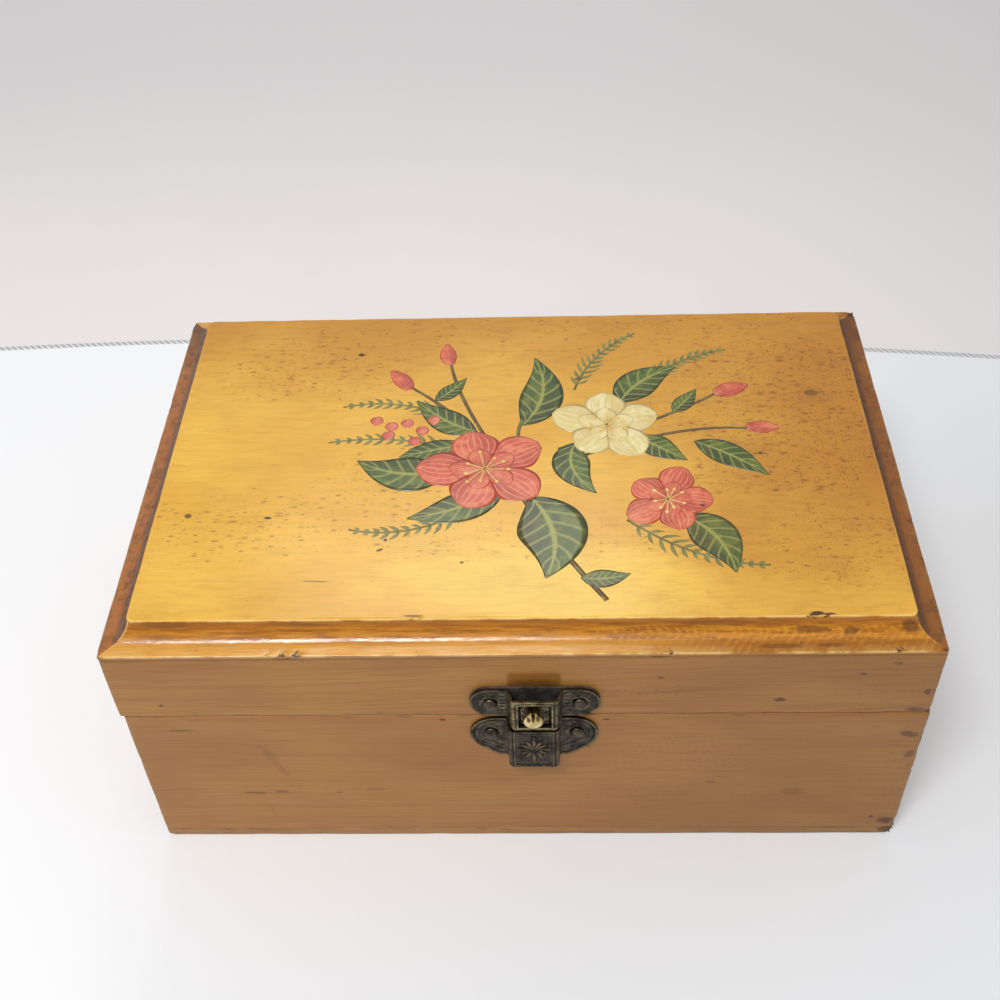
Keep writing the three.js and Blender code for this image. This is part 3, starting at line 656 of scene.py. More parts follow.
# Each swept board: CAD node, look, body, slot and seed.
boardRows = (
    ("body_front_board", "caseWood", "case", "case_wood", 101),
    ("body_left_board", "sideWood", "case", "case_wood", 111),
    ("body_right_board", "sideWood", "case", "case_wood", 121),
    ("body_bottom_board", "bottomWood", "case", "bottom_wood", 131),
    ("lid_front_rail", "lidWood", "lid", "lid_wood", 141),
    ("lid_left_rail", "lidSideWood", "lid", "lid_wood", 151),
    ("lid_right_rail", "lidSideWood", "lid", "lid_wood", 161),
)
# Chips of the front arrises: the end or X, Z, radii and depth.
boardChips = {
    "body_front_board": (
        ("right", 4.6, (1.5, 1.5, 1.6), 0.7), ("right", 13, (0.7, 0.8, 1.0), 0.3),
        ("right", 19.5, (0.6, 0.8, 1.6), 0.28), ("right", 25, (0.8, 0.9, 1.2), 0.35),
        ("right", 31.5, (0.7, 0.8, 2.2), 0.3), ("right", 38, (1.0, 1.0, 1.5), 0.4),
        ("right", 45, (1.3, 1.0, 1.0), 0.4), ("left", 30, (0.7, 0.8, 1.5), 0.2),
    ),
    "body_bottom_board": (("right", 1, (1.8, 1.6, 1.8), 0.8), ("left", 0, (1.2, 1.2, 1.4), 0.5)),
    "lid_front_rail": (
        ("right", 46, (1.4, 1.2, 1.2), 0.5), ("right", 52, (0.8, 0.9, 1.6), 0.3),
        ("right", 58.5, (0.7, 0.8, 1.2), 0.3), ("left", 45.8, (1.2, 1.2, 1.0), 0.4),
        (49.5, 45.6, (0.9, 0.8, 0.7), 0.3),
    ),
}


# A board: a plan loop swept upward, its lower and upper arrises rounded by a quarter circle, and worn
# inward along the loop's normals by lumps near the arrises and by chips, but less at the small inner
# corners.
def sweptBoard(node, loop, arrises, chips, material, body, slot, seed):
    shape = boardShape
    lowZ, highZ = nodeBox(node)[0][2], panelBase if body == "lid" else nodeBox(node)[1][2]
    angle = np.linspace(0, np.pi / 2, shape["easeSteps"])
    easeIn = shape["easeRadius"] * (1 - np.sin(angle))
    easeUp = shape["easeRadius"] * (1 - np.cos(angle))
    wallCount = max(3, int((highZ - lowZ) / shape["step"]))
    wall = np.linspace(lowZ + easeUp[-1], highZ - easeUp[-1], wallCount)
    levels = np.concatenate([lowZ + easeUp, wall[1:-1], highZ - easeUp[::-1]])
    insets = np.concatenate([easeIn, np.zeros(wallCount - 2), easeIn[::-1]])
    normals = loopNormals(loop)
    base = np.empty((len(levels), len(loop), 3))
    base[..., :2] = loop
    base[..., 2] = levels[:, None]
    fromEnds = np.minimum(levels - lowZ, highZ - levels)[:, None]
    fromArris = np.min([np.hypot(loop[:, 0] - x, loop[:, 1] - y) for x, y in arrises], axis=0)[None]
    nearest = np.minimum(fromEnds, fromArris)
    rubbed = np.clip(0.35 + lumps(base, shape["wearLength"], seed), 0, 2)
    rubbing = ridge(nearest, shape["wearReach"]) * rubbed
    bite = chipsAt(base, chips, seed + 2)
    waves = np.clip(lumps(base, shape["waveLength"], seed + 3), -1, 1)
    worn = shape["wear"] * rubbing + bite + shape["waviness"] * (1 + waves) / 2
    toNext = np.linalg.norm(np.roll(loop, -1, axis=0) - loop, axis=1)
    share = np.where(np.minimum(toNext, np.roll(toNext, 1)) < shape["innerRadius"], shape["innerShare"], 1)
    taken = np.minimum(insets[:, None] + worn, shape["mostTaken"])
    base[..., :2] -= normals * (share * taken)[..., None]
    rows, columns = base.shape[:2]
    faces = gridQuads(rows, columns, wrapColumns=True).tolist()
    faces += [list(range(columns))[::-1], list(range((rows - 1) * columns, rows * columns))]
    reachX, reachY = shape["insideReach"]
    isInside = (base[..., 0] > caseInside[0] - reachX) & (base[..., 0] < caseInside[1] + reachX)
    isInside &= np.abs(base[..., 1]) < abs(insideY) + reachY
    if slot == "bottom_wood":
        isInside[-1] = True
    numbers = {"edge": ridge(nearest, shape["edgeReach"]), "chip": bite, "inside": isInside}
    addPiece(node, base, faces, [material], body, numbers)


# The plan of a front board: rounded outer corners, and ends cut back to take the side boards.
def rabbetedLoop(node, leftNode, rightNode):
    shape = boardShape
    (x0, y0, _), (x1, y1, _) = nodeBox(node)
    left, right = nodeBox(leftNode), nodeBox(rightNode)
    lip = left[0][1] - shape["glueLine"]
    shoulderLeft, shoulderRight = left[1][0] + shape["glueLine"], right[0][0] - shape["glueLine"]
    corners = [(x0, y0), (x1, y0), (x1, lip), (shoulderRight, lip), (shoulderRight, y1)]
    corners += [(shoulderLeft, y1), (shoulderLeft, lip), (x0, lip)]
    r, small = shape["cornerRadius"], shape["innerRadius"]
    return roundedLoop(corners, [r, r, small, 0, small, small, 0, small], shape["step"])


# The plan of a plain board: a rectangle whose corners are rounded by one radius.
def plainLoop(node, radius):
    (x0, y0, _), (x1, y1, _) = nodeBox(node)
    corners = [(x0, y0), (x1, y0), (x1, y1), (x0, y1)]
    return roundedLoop(corners, [radius] * 4, boardShape["step"])


# The boards by their rows. Front boards wear along their two front arrises, side boards along the outer
# one, and the bottom board along all four; the back boards are copies of the CAD's.
def addBoards():
    woods = {name: boardWood(name, look) for name, look in boardLooks.items()}
    for node, look, body, slot, seed in boardRows:
        (left, front, _), (right, back, _) = nodeBox(node)
        ends = {"left": left, "right": right}
        chips = [((ends.get(x, x), front, z), radii, depth) for x, z, radii,
                 depth in boardChips.get(node, ())]
        if "front" in node:
            loop = rabbetedLoop(node, node.replace("front", "left"), node.replace("front", "right"))
            arrises = [(left, front), (right, front)]
        elif "bottom" in node:
            loop = plainLoop(node, boardShape["cornerRadius"])
            arrises = [(x, y) for x in (left, right) for y in (front, back)]
        else:
            loop = plainLoop(node, boardShape["innerRadius"])
            outer = left if "left" in node else right
            arrises = [(outer, front - boardShape["pastEnds"]), (outer, back + boardShape["pastEnds"])]
        sweptBoard(node, loop, arrises, chips, woods[look], body, slot, seed)
    for node, body in (("body_back_board", "case"), ("lid_back_rail", "lid")):
        easedCopy(node, woods["backWood"], body, 0.35, insideAt=-insideY)


# Lid panel

panelShape = {
    "step": 0.6,
    "cornerSteps": (0, 0.12, 0.27, 0.45, 0.66, 0.92, 1.25, 1.7, 2.2),
    "edgeHeight": 0.9,
    "landWidth": 3.0,
    "coveWidth": 2.5,
    "coveHeight": 4.3,
    "coveHollow": 0.55,
    "coveSteps": 14,
    "bends": {"under": 0.18, "rim": 0.3, "root": 1.0, "field": 0.42},
    "bendSteps": 7,
    "cornerInsets": (0, 0.6, 3.0, 5.5),
    "cornerRadii": (0.5, 0.15, 0.15, 1.6),
    "fieldDrop": 0.09,
    "wear": 0.045,
    "wearLength": 11.0,
    "arrisWidth": 0.7,
    "fieldWave": 0.02,
    "fieldWaveLength": 30,
    "calmEdge": 8,
    "chips": (
        ((-45.2, -54, 65.2), (2.6, 1.3, 0.8), 0.34), ((-49.5, -54, 65.2), (1.2, 1.0, 0.6), 0.2),
        ((28.6, -54, 65.2), (1.8, 1.2, 0.8), 0.3), ((61.5, -54, 65.2), (0.8, 0.9, 0.6), 0.2),
        ((72.5, -54, 65.2), (1.9, 0.9, 0.6), 0.2), ((56.6, -48.2, 69.4), (1.2, 1.1, 0.8), 0.34),
        ((59.0, -48.2, 69.4), (1.0, 0.8, 0.7), 0.26), ((-20.5, -48.4, 69.4), (1.6, 0.5, 0.5), 0.16),
        ((82.2, -54, 65.2), (1.5, 1.5, 1.2), 0.15), ((-83.2, 54, 65.2), (2.0, 1.8, 1.4), 0.35),
        ((-83.2, -54, 65.2), (1.2, 1.2, 1.0), 0.3), ((82.2, 54, 65.2), (2.2, 2.0, 1.6), 0.4),
        ((-83.2, 21, 65.2), (0.8, 2.4, 0.8), 0.2), ((82.2, -20, 65.2), (0.8, 2.0, 0.8), 0.22),
    ),
}
panelLook = {
    "gold": tone(231, 174, 56),
    "paleGold": tone(240, 188, 70),
    "amber": tone(190, 125, 29),
    "haze": tone(168, 110, 34),
    # The glow mark and its tone paint a sheen on the front centre of the field: a painted highlight.
    "glow": topMarks((2, -40, 42, 14, 0, 0.7)),
    "paintedSheenTone": tone(248, 206, 84),
    "grainTone": tone(196, 136, 38),
    "speckTone": (0.4, 0.29, 0.16, 1),
    "pitTone": tone(52, 28, 12),
    "coveTone": tone(204, 134, 14),
    "coveDeep": tone(152, 86, 0),
    "coveFleck": tone(226, 160, 44),
    "coveStain": tone(84, 44, 14),
    "landTone": tone(224, 160, 56),
    "landDeep": tone(160, 98, 18),
    "endGrain": tone(108, 66, 26),
    "endGrainDeep": tone(84, 48, 20),
    "endLand": tone(170, 100, 32),
    "frontTone": tone(158, 106, 46),
    "chipTone": tone(60, 32, 16),
    "rubbedAndHighlightTone": tone(240, 204, 122),
    "weave": (("X", 0.72), ("Y", 0.6)),
    "crowds": topMarks(
        (-48, 30, 32, 17, 0.1, 1.0), (-57, -22, 32, 12, 0.05, 1.0), (-26, -12, 22, 18, 0, 0.85),
        (58, 14, 36, 42, 0, 1.15), (66, -28, 22, 18, 0, 0.8), (4, -27, 60, 9, 0, 0.8),
        (10, 42, 70, 12, 0, 0.6),
    ),
    "coveStains": (
        ((56.5, -50, 66.7), (4.9, 9, 0.8), (0, 0.03, 0), 0.62),
        ((63.9, -50, 66.5), (2.0, 9, 0.75), (0, -0.05, 0), 0.6),
        ((50.0, -52.4, 65.3), (6.2, 0.7, 2), (0, 0, 0), 0.55),
        ((59.8, -52.3, 65.3), (3.4, 0.6, 2), (0, 0, 0), 0.55),
        ((75.2, -50.4, 67.2), (2.2, 9, 1.5), (0, 0.2, 0), 0.7),
        ((38, -51, 68), (9, 9, 0.7), (0, 0, 0), 0.5), ((20, -51, 68), (6, 9, 0.6), (0, 0, 0), 0.45),
        ((-70, -51, 68.4), (8, 9, 0.8), (0, 0, 0), 0.4), ((-42, -51, 68.2), (6, 9, 0.6), (0, 0, 0), 0.35),
    ),
    "pits": topMarks(
        (-38.5, 34.2, 1.1, 0.7, 0, 0.95), (-53.4, -20.3, 1.0, 0.5, 0, 0.95),
        (-29.0, -29.9, 0.9, 0.45, 0.4, 0.95), (-28.0, -27.1, 0.55, 0.5, 0, 0.95),
        (-70.5, -19.5, 1.0, 0.8, 0, 0.8), (-12.0, -33.5, 0.5, 0.4, 0, 0.9),
        (57.3, -47.8, 1.7, 0.7, 0.1, 0.95), (59.7, -47.9, 1.6, 0.35, 0, 0.9),
        (-21.0, -47.6, 2.4, 0.35, 0, 0.75), (-41.0, -38.4, 3.6, 0.22, -0.05, 0.6),
        (52.0, -2.0, 0.6, 0.5, 0, 0.8), (66.0, 18.0, 2.2, 1.3, 0, 0.55), (13.0, 24.0, 1.2, 0.7, 0, 0.7),
        (38.0, -18.0, 0.7, 0.5, 0, 0.8),
    ),
}


# Colour and relief of the aged varnish, over whatever colour lies under it on the top.
def agedVarnish(under, strength=1.0):
    look = panelLook
    x, y, z = splitPlace()
    ragged = noise((1.3, 0.7, 1.3), 3, 4, 0.65)
    crowds = marksOver(look["crowds"], noise((17, 12, 17), 4, 3))
    surface = surfacePlace("x")
    flat = specksOf(surface, (3.1, 1.45), crowds, 5, 0.34)
    fine = specksOf(surface, (1.6, 0.85), crowds, 25, 0.28)
    upright = specksOf(surface, (0.9, 2.0), crowds * ease(x, 20.0, 60.0, 0.75), 15, 0.36)
    specks = larger(larger(flat, fine * 0.8), upright) * (0.9 * strength)
    colour = mix(specks, under, look["speckTone"], "MULTIPLY")
    waves = {"Vector": making["place"], "Distortion": 1.1, "Detail": 2.0, "Detail Scale": 0.5}
    threads = [addNode("TexWave", {**waves, "Scale": scale}, bands_direction=way)["Fac"]
               for way, scale in look["weave"]]
    weave = larger(*[ease(thread, 0.6, 1.0) for thread in threads])
    rubbedThrough = ease(noise((14, 9, 14), 8, 2), 0.4, 0.62)
    front = ease(y, 0.0, -36.0) * (rubbedThrough * 0.75 + 0.25)
    craze = weave * (front * 0.2 + 0.02) * ease(z, 69.2, 69.35)
    pits = marksOver(look["pits"], ragged)
    colour = layered(colour, [(craze, look["haze"]), (pits, look["pitTone"])])
    return colour, specks * -0.35 + (craze * -0.7 + pits * -3.0)


# How far along the moulding's path each point lies from the rim, in millimetres.
def alongMoulding(path):
    lengths = lengthsAlong(path)
    return lengths - lengths[np.argmin(np.hypot(path[:, 0], path[:, 1]))]


# The gold field, going amber to the right and back, partly from age and partly as painted shade, with
# blots, horizontal grain and a painted sheen at the front centre.
def fieldColour(x, y, streaks, grain):
    look = panelLook
    drift = noise((34, 22, 34), 1, 3)
    toRight = ease(drift * 46.0 + x, 20.0, 100.0) * ease(y, -62.0, -10.0)
    toBack = ease(drift * 30.0 + y, 10.0, 80.0, 0.85)
    # Darker amber to the right and to the back: partly age of the varnish, partly painted shade.
    aged = larger(toRight, toBack)
    blots = ease(noise((13, 7, 13), 2, 4, 0.6), 0.46, 0.72, 0.5)
    mottle = ease(noise((4.5, 1.3, 1.3), 28, 3), 0.5, 0.7, 0.5)
    return layered(look["paleGold"], [
        (ease(drift, 0.35, 0.65), look["gold"]),
        (aged, look["amber"]),
        # painted sheen: a paler patch at the front centre that stands in for a highlight
        (marksOver(look["glow"], drift), look["paintedSheenTone"]),
        (blots * (toRight * 0.7 + 0.3), look["haze"]),
        (mottle * (aged * 0.8 + 0.2), look["haze"]),
        (ease(streaks, 0.46, 0.72, 0.22), look["grainTone"]),
        (ease(grain, 0.54, 0.74, 0.3), look["grainTone"]),
    ])


# The moulding: a streaked cove whose steep upper part is darkened as painted shade, with chevrons to the
# right, a paler land, and end grain on the two ends, the right end darkened further as painted shade.
def mouldingColour(x, y, fromRim, upCove, grain):
    look = panelLook
    landEnd = panelShape["landWidth"]
    streak = noise((9, 0.9, 0.7), 14, 4, 0.65)
    bent = abs(upCove - 0.3)
    wander = noise((3.5, 3.5, 2.0), 17, 2)
    chevrons = ease(mathNode("SINE", (bent * 3.4 + (wander * 2.2 + x)) * 3.6), -0.3, 1.0)
    figured = ease(noise((22, 90, 90), 21, 1) * 60.0 + x, 26.0, 52.0)
    figured = figured * ease(upCove, 0.75, 0.35)
    patchy = ease(noise((1.6, 0.8, 0.6), 27, 2), 0.36, 0.62)
    figured = figured * patchy * (chevrons * 0.45)
    cove = layered(look["coveTone"], [
        (ease(streak, 0.36, 0.66), look["coveDeep"]),
        (figured, look["coveFleck"]),
        # painted shade: the steep upper cove darkened toward the field
        (ease(upCove, 0.35, 0.95, 0.75), look["coveDeep"]),
    ])
    land = layered(look["landTone"], [
        (ease(grain, 0.4, 0.7, 0.4), look["landDeep"]),
        (ease(x, 0.0, 50.0), look["landDeep"]),
        (figured * 0.45, look["coveFleck"]),
    ])
    onLand = ease(fromRim, landEnd + 0.9, landEnd - 0.9)
    front = mix(onLand, cove, land)
    blotch = noise((1.3, 0.6, 0.5), 23, 4, 0.75)
    front = mix(marksOver(look["coveStains"], blotch), front, look["coveStain"])
    endFleck = noise((2.0, 2.6, 0.35), 16, 4, 0.65)
    endCove = mix(ease(endFleck, 0.34, 0.7), look["endGrain"], look["endGrainDeep"])
    endLand = mix(ease(endFleck, 0.42, 0.74), look["endLand"], look["endGrain"])
    ends = layered(endCove, [
        (onLand, endLand),
        (ease(y, 30.0, 54.0, 0.8), look["endGrainDeep"]),
        # painted shade: the right end of the moulding darker
        (ease(x, 0.0, 70.0, 0.5), look["endGrain"]),
    ])
    return mix(numberOf("endGrain"), front, ends)


# The varnished top: field and moulding under one aged varnish, worn at the edges, with pale edge lines that
# are partly rubbed varnish and partly painted highlight, chipped, and bare below.
def panelWood(name, coat, coatRough, rough, pooling):
    look = panelLook
    material, shader = newMaterial(name)
    x, y, _ = splitPlace()
    streaks, grain = noise((9, 1.3, 1.3), 10, 4, 0.62), noise((6, 0.28, 0.28), 12, 2)
    fromRim = numberOf("fromRim")
    landEnd, coveEnd = panelShape["landWidth"], float(alongMoulding(mouldingPath(panelShape))[-1])
    upCove = (fromRim - landEnd) / (coveEnd - landEnd)
    onField = ease(fromRim, coveEnd - 0.55, coveEnd - 0.3)
    colour, height = agedVarnish(layered(mouldingColour(x, y, fromRim, upCove, grain), [
        (onField, fieldColour(x, y, streaks, grain)),
        (ease(fromRim, -0.05, -0.2), look["frontTone"]),
    ]))
    # Pale edge lines: partly rubbed varnish, partly painted highlight on the arrises and mitres.
    rubbed = numberOf("edge") * ease(noise((5, 5, 5), 18, 4), 0.36, 0.6, 0.75)
    rubbed = rubbed * (numberOf("endGrain") * -0.7 + 1.0)
    chip = ease(numberOf("chip"), 0.03, 0.2)
    torn = ease(noise((0.8, 0.8, 0.5), 19, 3), 0.34, 0.62)
    under = ease(numberOf("inside"), 0.4, 0.6)
    colour = layered(colour, [
        (rubbed, look["rubbedAndHighlightTone"]),
        (chip * torn, look["chipTone"]),
        (under, mix(ease(streaks, 0.35, 0.7), barePine["rawLight"], barePine["rawDark"])),
    ])
    brush = noise((8, 1.3, 1.3), 20, 3)
    waves = noise((7.0, 2.2, 1.6), 22, 2)
    height = waves * (1.0 - onField) * 2.4 + (grain * 0.3 + (brush * 0.8 + height))
    shine = brush * 0.16 + rough + larger(chip, under) * 0.4
    inputs = {"Base Color": colour, "Roughness": shine, "Normal": bumpFrom(height, 0.03)}
    inputs.update({"Coat Weight": coat, "Coat Roughness": coatRough, "IOR": 1.42})
    if pooling:
        pooled = ease(upCove, 0.55, 0.2) * ease(x, 50.0, 5.0, pooling) * ease(streaks, 0.3, 0.52)
        ripples = noise((1.1, 0.35, 0.35), 29, 3, 0.6)
        inputs["Coat Weight"] = pooled + coat
        inputs["Coat Normal"] = bumpFrom(ripples, 0.045)
    setInputs(shader, inputs)
    return material


# An open path with each inner corner replaced by a quadratic curve that starts and ends this far from the
# corner.
def bentPath(points, cuts, steps):
    points = [np.array(p, float) for p in points]
    path = [points[0]]
    for before, here, after, cut in zip(points, points[1:], points[2:], cuts):
        if cut == 0:
            path.append(here)
            continue
        start = here + cut * (before - here) / np.linalg.norm(before - here)
        end = here + cut * (after - here) / np.linalg.norm(after - here)
        path += [onBend(start, here, end, t) for t in np.linspace(0, 1, steps + 1)]
    path.append(points[-1])
    return np.array(path)


# The moulded edge as (inset from the rim, height above it): edge, land, then an arc that dips under its
# chord.
def mouldingPath(shape):
    height = shape["coveHeight"] - shape["fieldDrop"]
    chord = np.array([shape["coveWidth"], height])
    half, dip = np.linalg.norm(chord) / 2, shape["coveHollow"]
    radius = (half**2 + dip**2) / (2 * dip)
    sweep = math.asin(half / radius)
    out = np.array([chord[1], -chord[0]]) / np.linalg.norm(chord)
    centre = chord / 2 + out * (dip - radius)
    base = math.atan2(out[1], out[0])
    angles = np.linspace(base - sweep, base + sweep, shape["coveSteps"] + 1)
    arc = centre + radius * np.stack([np.cos(angles), np.sin(angles)], 1) + [shape["landWidth"], 0]
    fromRoot = np.linalg.norm(arc - arc[0], axis=1)
    arc = np.concatenate([arc[:1], arc[fromRoot > shape["bends"]["root"] * 1.1]])
    start = [[3.0, -shape["edgeHeight"]], [0, -shape["edgeHeight"]], [0, 0]]
    end = arc[-1] + [shape["bends"]["field"], 0]
    cuts = [shape["bends"]["under"], shape["bends"]["rim"], shape["bends"]["root"]]
    cuts += [0] * (len(arc) - 2) + [shape["bends"]["field"] * 0.8]
    return bentPath(start + arc.tolist() + [end], cuts, shape["bendSteps"])


# Fractions from -1 to 1 along an edge: close together at its ends, then even steps.
def edgeFractions(length):
    ends = np.array(panelShape["cornerSteps"])
    count = round((length - 2 * ends[-1]) / panelShape["step"]) + 1
    middle = np.linspace(ends[-1], length - ends[-1], count)
    return 2 * np.concatenate([ends[:-1], middle, length - ends[:-1][::-1]]) / length - 1


# Places on a rectangle whose corners are rounded: the square in each corner is drawn in to a quarter disc.
def roundCorners(x, y, halfX, halfY, radius):
    squareX, squareY = halfX - radius, halfY - radius
    qx, qy = np.clip(np.abs(x) - squareX, 0, None), np.clip(np.abs(y) - squareY, 0, None)
    shrink = np.maximum(qx, qy) / np.maximum(np.hypot(qx, qy), 1e-9)
    inCorner = (qx > 0) & (qy > 0)
    drawnX, drawnY = np.sign(x) * (squareX + qx * shrink), np.sign(y) * (squareY + qy * shrink)
    return np.where(inCorner, drawnX, x), np.where(inCorner, drawnY, y)


# The panel: rings that follow the moulding path round a rectangle, mitred at its corners, and a grid inside
# them.
def addPanel():
    shape = panelShape
    low, high = nodeBox("lid_top_panel")
    half, centre = (high - low)[:2] / 2, (high + low)[:2] / 2
    rim = high[2] - shape["coveHeight"]
    path = mouldingPath(shape)
    fromRim = alongMoulding(path)
    along = directions(path)
    fx, fy = edgeFractions(2 * half[0]), edgeFractions(2 * half[1])
    nx, ny = len(fx), len(fy)
    upX, upY = np.arange(nx - 1), np.arange(ny - 1)
    rowOf = np.concatenate([0 * upX, upY, 0 * upX + ny - 1, ny - 1 - upY])
    columnOf = np.concatenate([upX, 0 * upY + nx - 1, nx - 1 - upX, 0 * upY])
    loopX, loopY = fx[columnOf], fy[rowOf]
    wide = shape["arrisWidth"]
    arris = np.maximum(ridge(fromRim, wide), ridge(fromRim - fromRim[-1] + 0.3, wide))[:, None]
    insets = np.repeat(path[:, :1], len(loopX), axis=1)
    heights = np.repeat(path[:, 1:], len(loopX), axis=1)

    def ringPoints(insets, heights):
        halfX, halfY = half[0] - insets, half[1] - insets
        radius = np.interp(insets, shape["cornerInsets"], shape["cornerRadii"])
        x, y = roundCorners(loopX * halfX, loopY * halfY, halfX, halfY, radius)
        return np.stack([x + centre[0], y + centre[1], heights + rim], -1)

    flat = ringPoints(insets, heights)
    bite = chipsAt(flat, shape["chips"], 201)
    worn = shape["wear"] * arris * np.clip(0.3 + lumps(flat, shape["wearLength"], 203), 0, 2) + bite
    worn[0] = 0
    rings = ringPoints(insets + worn * along[:, 1:], heights - worn * np.abs(along[:, :1]))
    fieldHalf = half - path[-1, 0]
    gx, gy = np.meshgrid(fx * fieldHalf[0], fy * fieldHalf[1])
    fromEdge = np.minimum(fieldHalf[0] - np.abs(gx), fieldHalf[1] - np.abs(gy))
    gx, gy = roundCorners(gx, gy, *fieldHalf, shape["cornerRadii"][-1])
    field = np.stack([gx + centre[0], gy + centre[1], np.full(gx.shape, rim + path[-1, 1])], -1)
    fieldBite = chipsAt(field, shape["chips"], 201)
    field[..., 2] -= fieldBite
    waves = 1 + np.clip(lumps(field, shape["fieldWaveLength"], 205), -1, 1)
    field[..., 2] -= shape["fieldWave"] * waves / 2 * np.clip(fromEdge / shape["calmEdge"], 0, 1)
    field[rowOf, columnOf] = rings[-1]
    count = nx * ny
    loopIndex = rowOf * nx + columnOf
    rows = len(path)
    ringIndex = (count + np.arange((rows - 1) * len(loopX))).reshape(rows - 1, -1)
    ringIndex = np.concatenate([ringIndex, loopIndex[None]])
    step = np.roll(ringIndex, -1, axis=1)
    sides = np.stack([ringIndex[:-1], step[:-1], step[1:], ringIndex[1:]], -1).reshape(-1, 4)
    fieldFaces = gridQuads(ny, nx).tolist()
    faces = fieldFaces + sides.tolist() + [ringIndex[0][::-1].tolist()]
    points = np.concatenate([field.reshape(-1, 3), rings[:-1].reshape(-1, 3)])
    isEnd = (np.abs(loopX) == 1) & (np.abs(loopY) < 1)
    mitre = (half[0] - np.abs(flat[..., 0] - centre[0])) - (half[1] - np.abs(flat[..., 1] - centre[1]))
    # Pale lines on the rim arris, the field arris and the mitres, strongest at the front-left mitre: partly
    # rubbed varnish and partly painted highlight.
    line = np.maximum(ridge(fromRim, 0.24), ridge(fromRim - fromRim[-1] + 0.4, 0.26))[:, None]
    share = np.where((flat[..., 0] < centre[0]) & (flat[..., 1] < centre[1]), 1.3, 0.5)
    line = np.maximum(line, share * ridge(mitre, 0.28) * (fromRim > 0)[:, None])

    # One number for the whole panel: its values on the field, then those on the rings.
    def join(onField, onRings):
        onRings = np.broadcast_to(onRings, (rows - 1, len(loopX)))
        return np.concatenate([np.broadcast_to(onField, (ny, nx)).ravel(), onRings.ravel()])

    numbers = {
        "fromRim": join(fromRim[-1], fromRim[:-1, None]),
        "endGrain": join(0, isEnd),
        "edge": join(ridge(fromEdge + 0.4, 0.26), line[:-1]),
        "chip": join(fieldBite, bite[:-1]),
        "inside": join(0, (np.arange(rows - 1) == 0)[:, None]),
    }
    materials = [panelWood("fieldVarnish", 0.45, 0.16, 0.29, 0.0),
                 panelWood("mouldingVarnish", 0.15, 0.075, 0.36, 1.0)]
    piece = addPiece("lid_top_panel", points, faces, materials, "lid", numbers)
    isMoulding = np.arange(len(faces)) >= len(fieldFaces)
    piece.data.polygons.foreach_set("material_index", isMoulding.astype(np.int32))
    return rim + path[-1, 1]


# Print on the top

printShape = {
    "floor": 69.34,
    "base": 69.414,
    "layer": 0.0035,
    "outlines": {
        "leaf": (0.02, 0.965, 0.8, 1.1),
        "petal": (0.06, 0.9, 1.35, 0.8),
        "bud": (0.15, 0.82, 1.0, 0.9),
        "stem": (0.35, 0.4, 1.0, 0.5),
    },
    "leaves": (
        (((-16, -6), (-26, -10), (-36, -3)), 5.4, 4), (((2, -15), (10, -26), (5, -38)), 7.4, 5),
        (((34, -21), (42, -26), (43, -37)), 5.0, 4), (((0, 8), (8, 18), (3, 32)), 5.0, 4),
        (((22, 15), (26, 24), (36, 28)), 4.6, 4), (((-10, 6), (-18, 9), (-24, 17)), 3.8, 3),
        (((38, 2), (46, -2), (53, -9)), 3.6, 3), (((-4, -13), (-13, -19), (-24, -21)), 4.4, 5.6),
        (((12, 2), (8, -6), (16, -14)), 4.2, 3.5), (((26, 4), (30, 0), (36, -4)), 3.4, 2.5),
        (((-12, 2), (-21, 0), (-27, -2)), 3.0, 2.5), (((-20, 17), (-16, 20), (-13, 25)), 2.2, 3.3),
        (((34, 12), (37, 15), (40, 20)), 2.2, 3.3), (((12, -38), (17, -39), (22, -37)), 2.4, 3.3),
    ),
    "buds": (
        (((-26, 21), (-28, 25), (-31, 28)), 2.1, 3), (((-17, 30), (-18, 34), (-18, 38)), 2.0, 3),
        (((44, 18), (48, 20), (52, 21)), 2.4, 3), (((50, 6), (54, 7), (57, 6)), 2.1, 3),
    ),
    "stems": (
        (((17, -44), (2, -22), (-6, 0)), 0.6, 2), (((-6, 0), (-14, 12), (-26, 22)), 0.42, 2),
        (((-6, 0), (-15, 18), (-17, 31)), 0.42, 1), (((8, 0), (30, 8), (44, 18)), 0.42, 2),
        (((14, -2), (36, 8), (50, 6)), 0.42, 1), (((-2, -6), (-12, -9), (-18, -6)), 0.42, 2),
        (((24, -12), (32, -16), (36, -24)), 0.45, 2), (((0, 0), (-2, 6), (1, 12)), 0.42, 1),
    ),
    "sprigs": (
        ((-8, -16), (-22, -28), (-36, -24)), ((26, 20), (36, 32), (48, 34)),
        ((-12, 8), (-26, 19), (-41, 15)), ((-12, -1), (-27, 6), (-43, 3)),
        ((22, -22), (36, -35), (50, -35)), ((12, 20), (16, 34), (27, 41)),
    ),
    "berries": ((-26, 9), (-22.5, 6.5), (-29.5, 8), (-24, 3), (-30, 5), (-20, 10), (-33, 10)),
    "blossoms": {
        "coralPetals": (((-8, -6), 13.5, 5.4, 0.5), ((31, -16), 9.5, 3.9, 1.1)),
        "creamPetals": (((19, 8), 11.5, 4.8, 0.2),),
    },
}
inkColumns = (
    "deep", "body", "pale", "line", "edge",
    "deepReach", "veins", "lean", "veinShare", "rib", "rim", "half",
)
